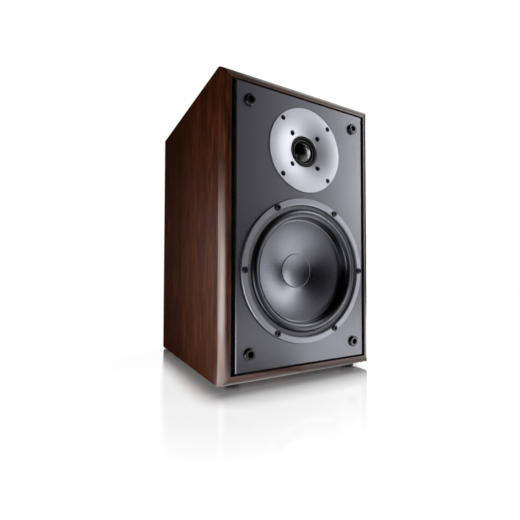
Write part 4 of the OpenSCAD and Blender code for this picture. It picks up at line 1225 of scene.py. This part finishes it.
# ---------------------------------------------------------------- woofer trim ring
# A die-cast ring, sprayed silver grey, that covers the basket's flange. Six black cap screws
# with washers go through it into the baffle.
ring_metal = satin_aluminium("ring_aluminium", "787881", "8c8c95", 0.30)
carried("woofer_trim_ring", ring_metal)
carried("woofer_screws", plated_steel("blued_steel", "26262a", "36363b", 0.30))


# ---------------------------------------------------------------- reflex port
# A moulded tube with flared ends that lets the box breathe. It is pushed into the rear panel
# from behind and glued.
satin_plastic = moulded_plastic("satin_plastic", "0d0d0e", "18181a", 0.42)
carried("port_tube", satin_plastic)


# ---------------------------------------------------------------- terminals
# A moulded cup screwed to the rear panel, with two gilt binding posts. Each has a knurled
# knob that presses a washer on the wire, and a bore for a 4 mm plug.
carried("terminal_cup", satin_plastic)
carried("terminal_screws", black_steel)
for node in ("binding_post_studs", "binding_post_nuts", "red_clamp_washer", "black_clamp_washer"):
    carried(node, gilt)
carried("solder_tags", plated_steel("tinned_steel", "a9aaa8", "cfd0cd", 0.30))
carried("red_knob", moulded_plastic("red_plastic", "8e0e0c", "b01814", 0.22))
carried("black_knob", moulded_plastic("black_gloss_plastic", "0b0b0c", "161618", 0.20))


# ---------------------------------------------------------------- crossover
# A glass-fibre board on nylon stand-offs on the cabinet's floor. It carries two air-core
# coils, three film capacitors and a ceramic resistor.
carried("crossover_board", laminate("green_laminate", "0f3d1e", "1c5a2e"))
carried("crossover_standoffs", moulded_plastic("pale_nylon", "d5d2c4", "e8e5d8", 0.40))
carried("crossover_screws", zinc)
carried("inductor_bobbins", black_plastic)


def inductor_coils():
    """A large and a small coil of thick wire."""
    low, high, _ = spot("inductor_windings")
    large, small, bore, wire = 16, 13, 6.1, 1.2
    bm = bmesh.new()
    for x, y, radius, height in (
        (low.x + large, low.y + large, large, high.z - low.z),
        (high.x - small, low.y + large - 1, small, high.z - low.z - 6),
    ):
        turned(wound(0, height, bore, wire, radius), (x, y, low.z), "z", 72, bm)
    return dress(bm, "inductor_coils", enamelled, sharp=60)


def film_capacitors():
    """Wound film in a yellow wrap, with sunk resin ends."""
    board_top = spot("capacitors")[0].z
    middle_y = spot("inductor_windings")[0].y + 46
    wrap_edge, resin_sunk = 1.1, 0.7
    wraps, ends = bmesh.new(), bmesh.new()
    for x, y, radius, length in (
        (21, middle_y + 8, 9, 34),
        (-23, middle_y + 6, 7.5, 32),
        (-23, middle_y + 28, 6, 28),
    ):
        at = (x - length / 2, y, board_top + radius)
        inner = radius - wrap_edge
        half = [
            (inner, resin_sunk),
            (radius - 0.9, 0.1),
            (radius - 0.5, 0),
            (radius - 0.15, 0.25),
            (radius, 0.9),
        ]
        wrap = half + [(r, length - d) for r, d in reversed(half)]
        turned(wrap + [(inner, length - resin_sunk)], at, "x", 72, wraps)
        resin = [(0, 0.55), (inner, resin_sunk), (inner, length - resin_sunk), (0, length - 0.55)]
        turned(resin, at, "x", 72, ends)
    amber = moulded_plastic("amber_resin", "8a6a20", "a78431", 0.4)
    filled = dress(ends, "capacitor_resin", amber)
    yellow = moulded_plastic("yellow_film", "c79a18", "e2b62e", 0.30)
    return dress(wraps, "capacitor_wraps", yellow), filled


def ceramic_resistor():
    """A ceramic trough filled with cement."""
    low, high, middle = spot("resistor")
    trough_wall, cement_sunk, rounding, long_edge = 1.2, 0.5, 0.5, 8
    box = Matrix.Translation(middle) @ Matrix.Diagonal((*(high - low), 1))
    bm = bmesh.new()
    bmesh.ops.create_cube(bm, size=1, matrix=box)
    top = max(bm.faces, key=lambda face: face.calc_center_median().z)
    bmesh.ops.inset_region(bm, faces=[top], thickness=trough_wall, depth=0)
    bmesh.ops.translate(bm, vec=(0, 0, -cement_sunk), verts=top.verts)
    top.material_index = 1
    outer = [e for e in bm.edges if e.calc_length() > long_edge and top not in e.link_faces]
    bevelled(bm, outer, rounding, 3)
    bmesh.ops.recalc_face_normals(bm, faces=bm.faces)
    return dress(
        bm,
        "ceramic_resistor",
        moulded_plastic("white_ceramic", "dedbd0", "f0ede4", 0.5),
        moulded_plastic("grey_cement", "b9b7ae", "cfcdc4", 0.8),
    )


enamelled = copper_wire()
stand_in(inductor_coils(), "copper_wire", "cabinet", "inductor_windings")
for made in film_capacitors():
    stand_in(made, "yellow_film", "cabinet", "capacitors")
stand_in(ceramic_resistor(), "white_ceramic", "cabinet", "resistor")


# ---------------------------------------------------------------- wiring
# Stranded wires in soft insulation. One pair runs from the terminals to the board, and two
# more run on to the drivers' tabs.
def insulated_wires():
    """The six conductors, one of each pair red and the other black."""
    bm = copied("internal_wires")
    reached, count = set(), 0
    for start in bm.faces:
        if start in reached:
            continue
        nearby = [start]
        while nearby:
            face = nearby.pop()
            if face not in reached:
                reached.add(face)
                face.material_index = count % 2
                nearby += [f for e in face.edges for f in e.link_faces if f not in reached]
        count += 1
    return dress(bm, "insulated_wires", red_insulation, black_insulation, sharp=60)


red_insulation = moulded_plastic("red_insulation", "8c1010", "ab1a1a", 0.38)
black_insulation = moulded_plastic("black_insulation", "0c0c0d", "1a1a1c", 0.38)
stand_in(insulated_wires(), "red_insulation", "cabinet", "internal_wires")
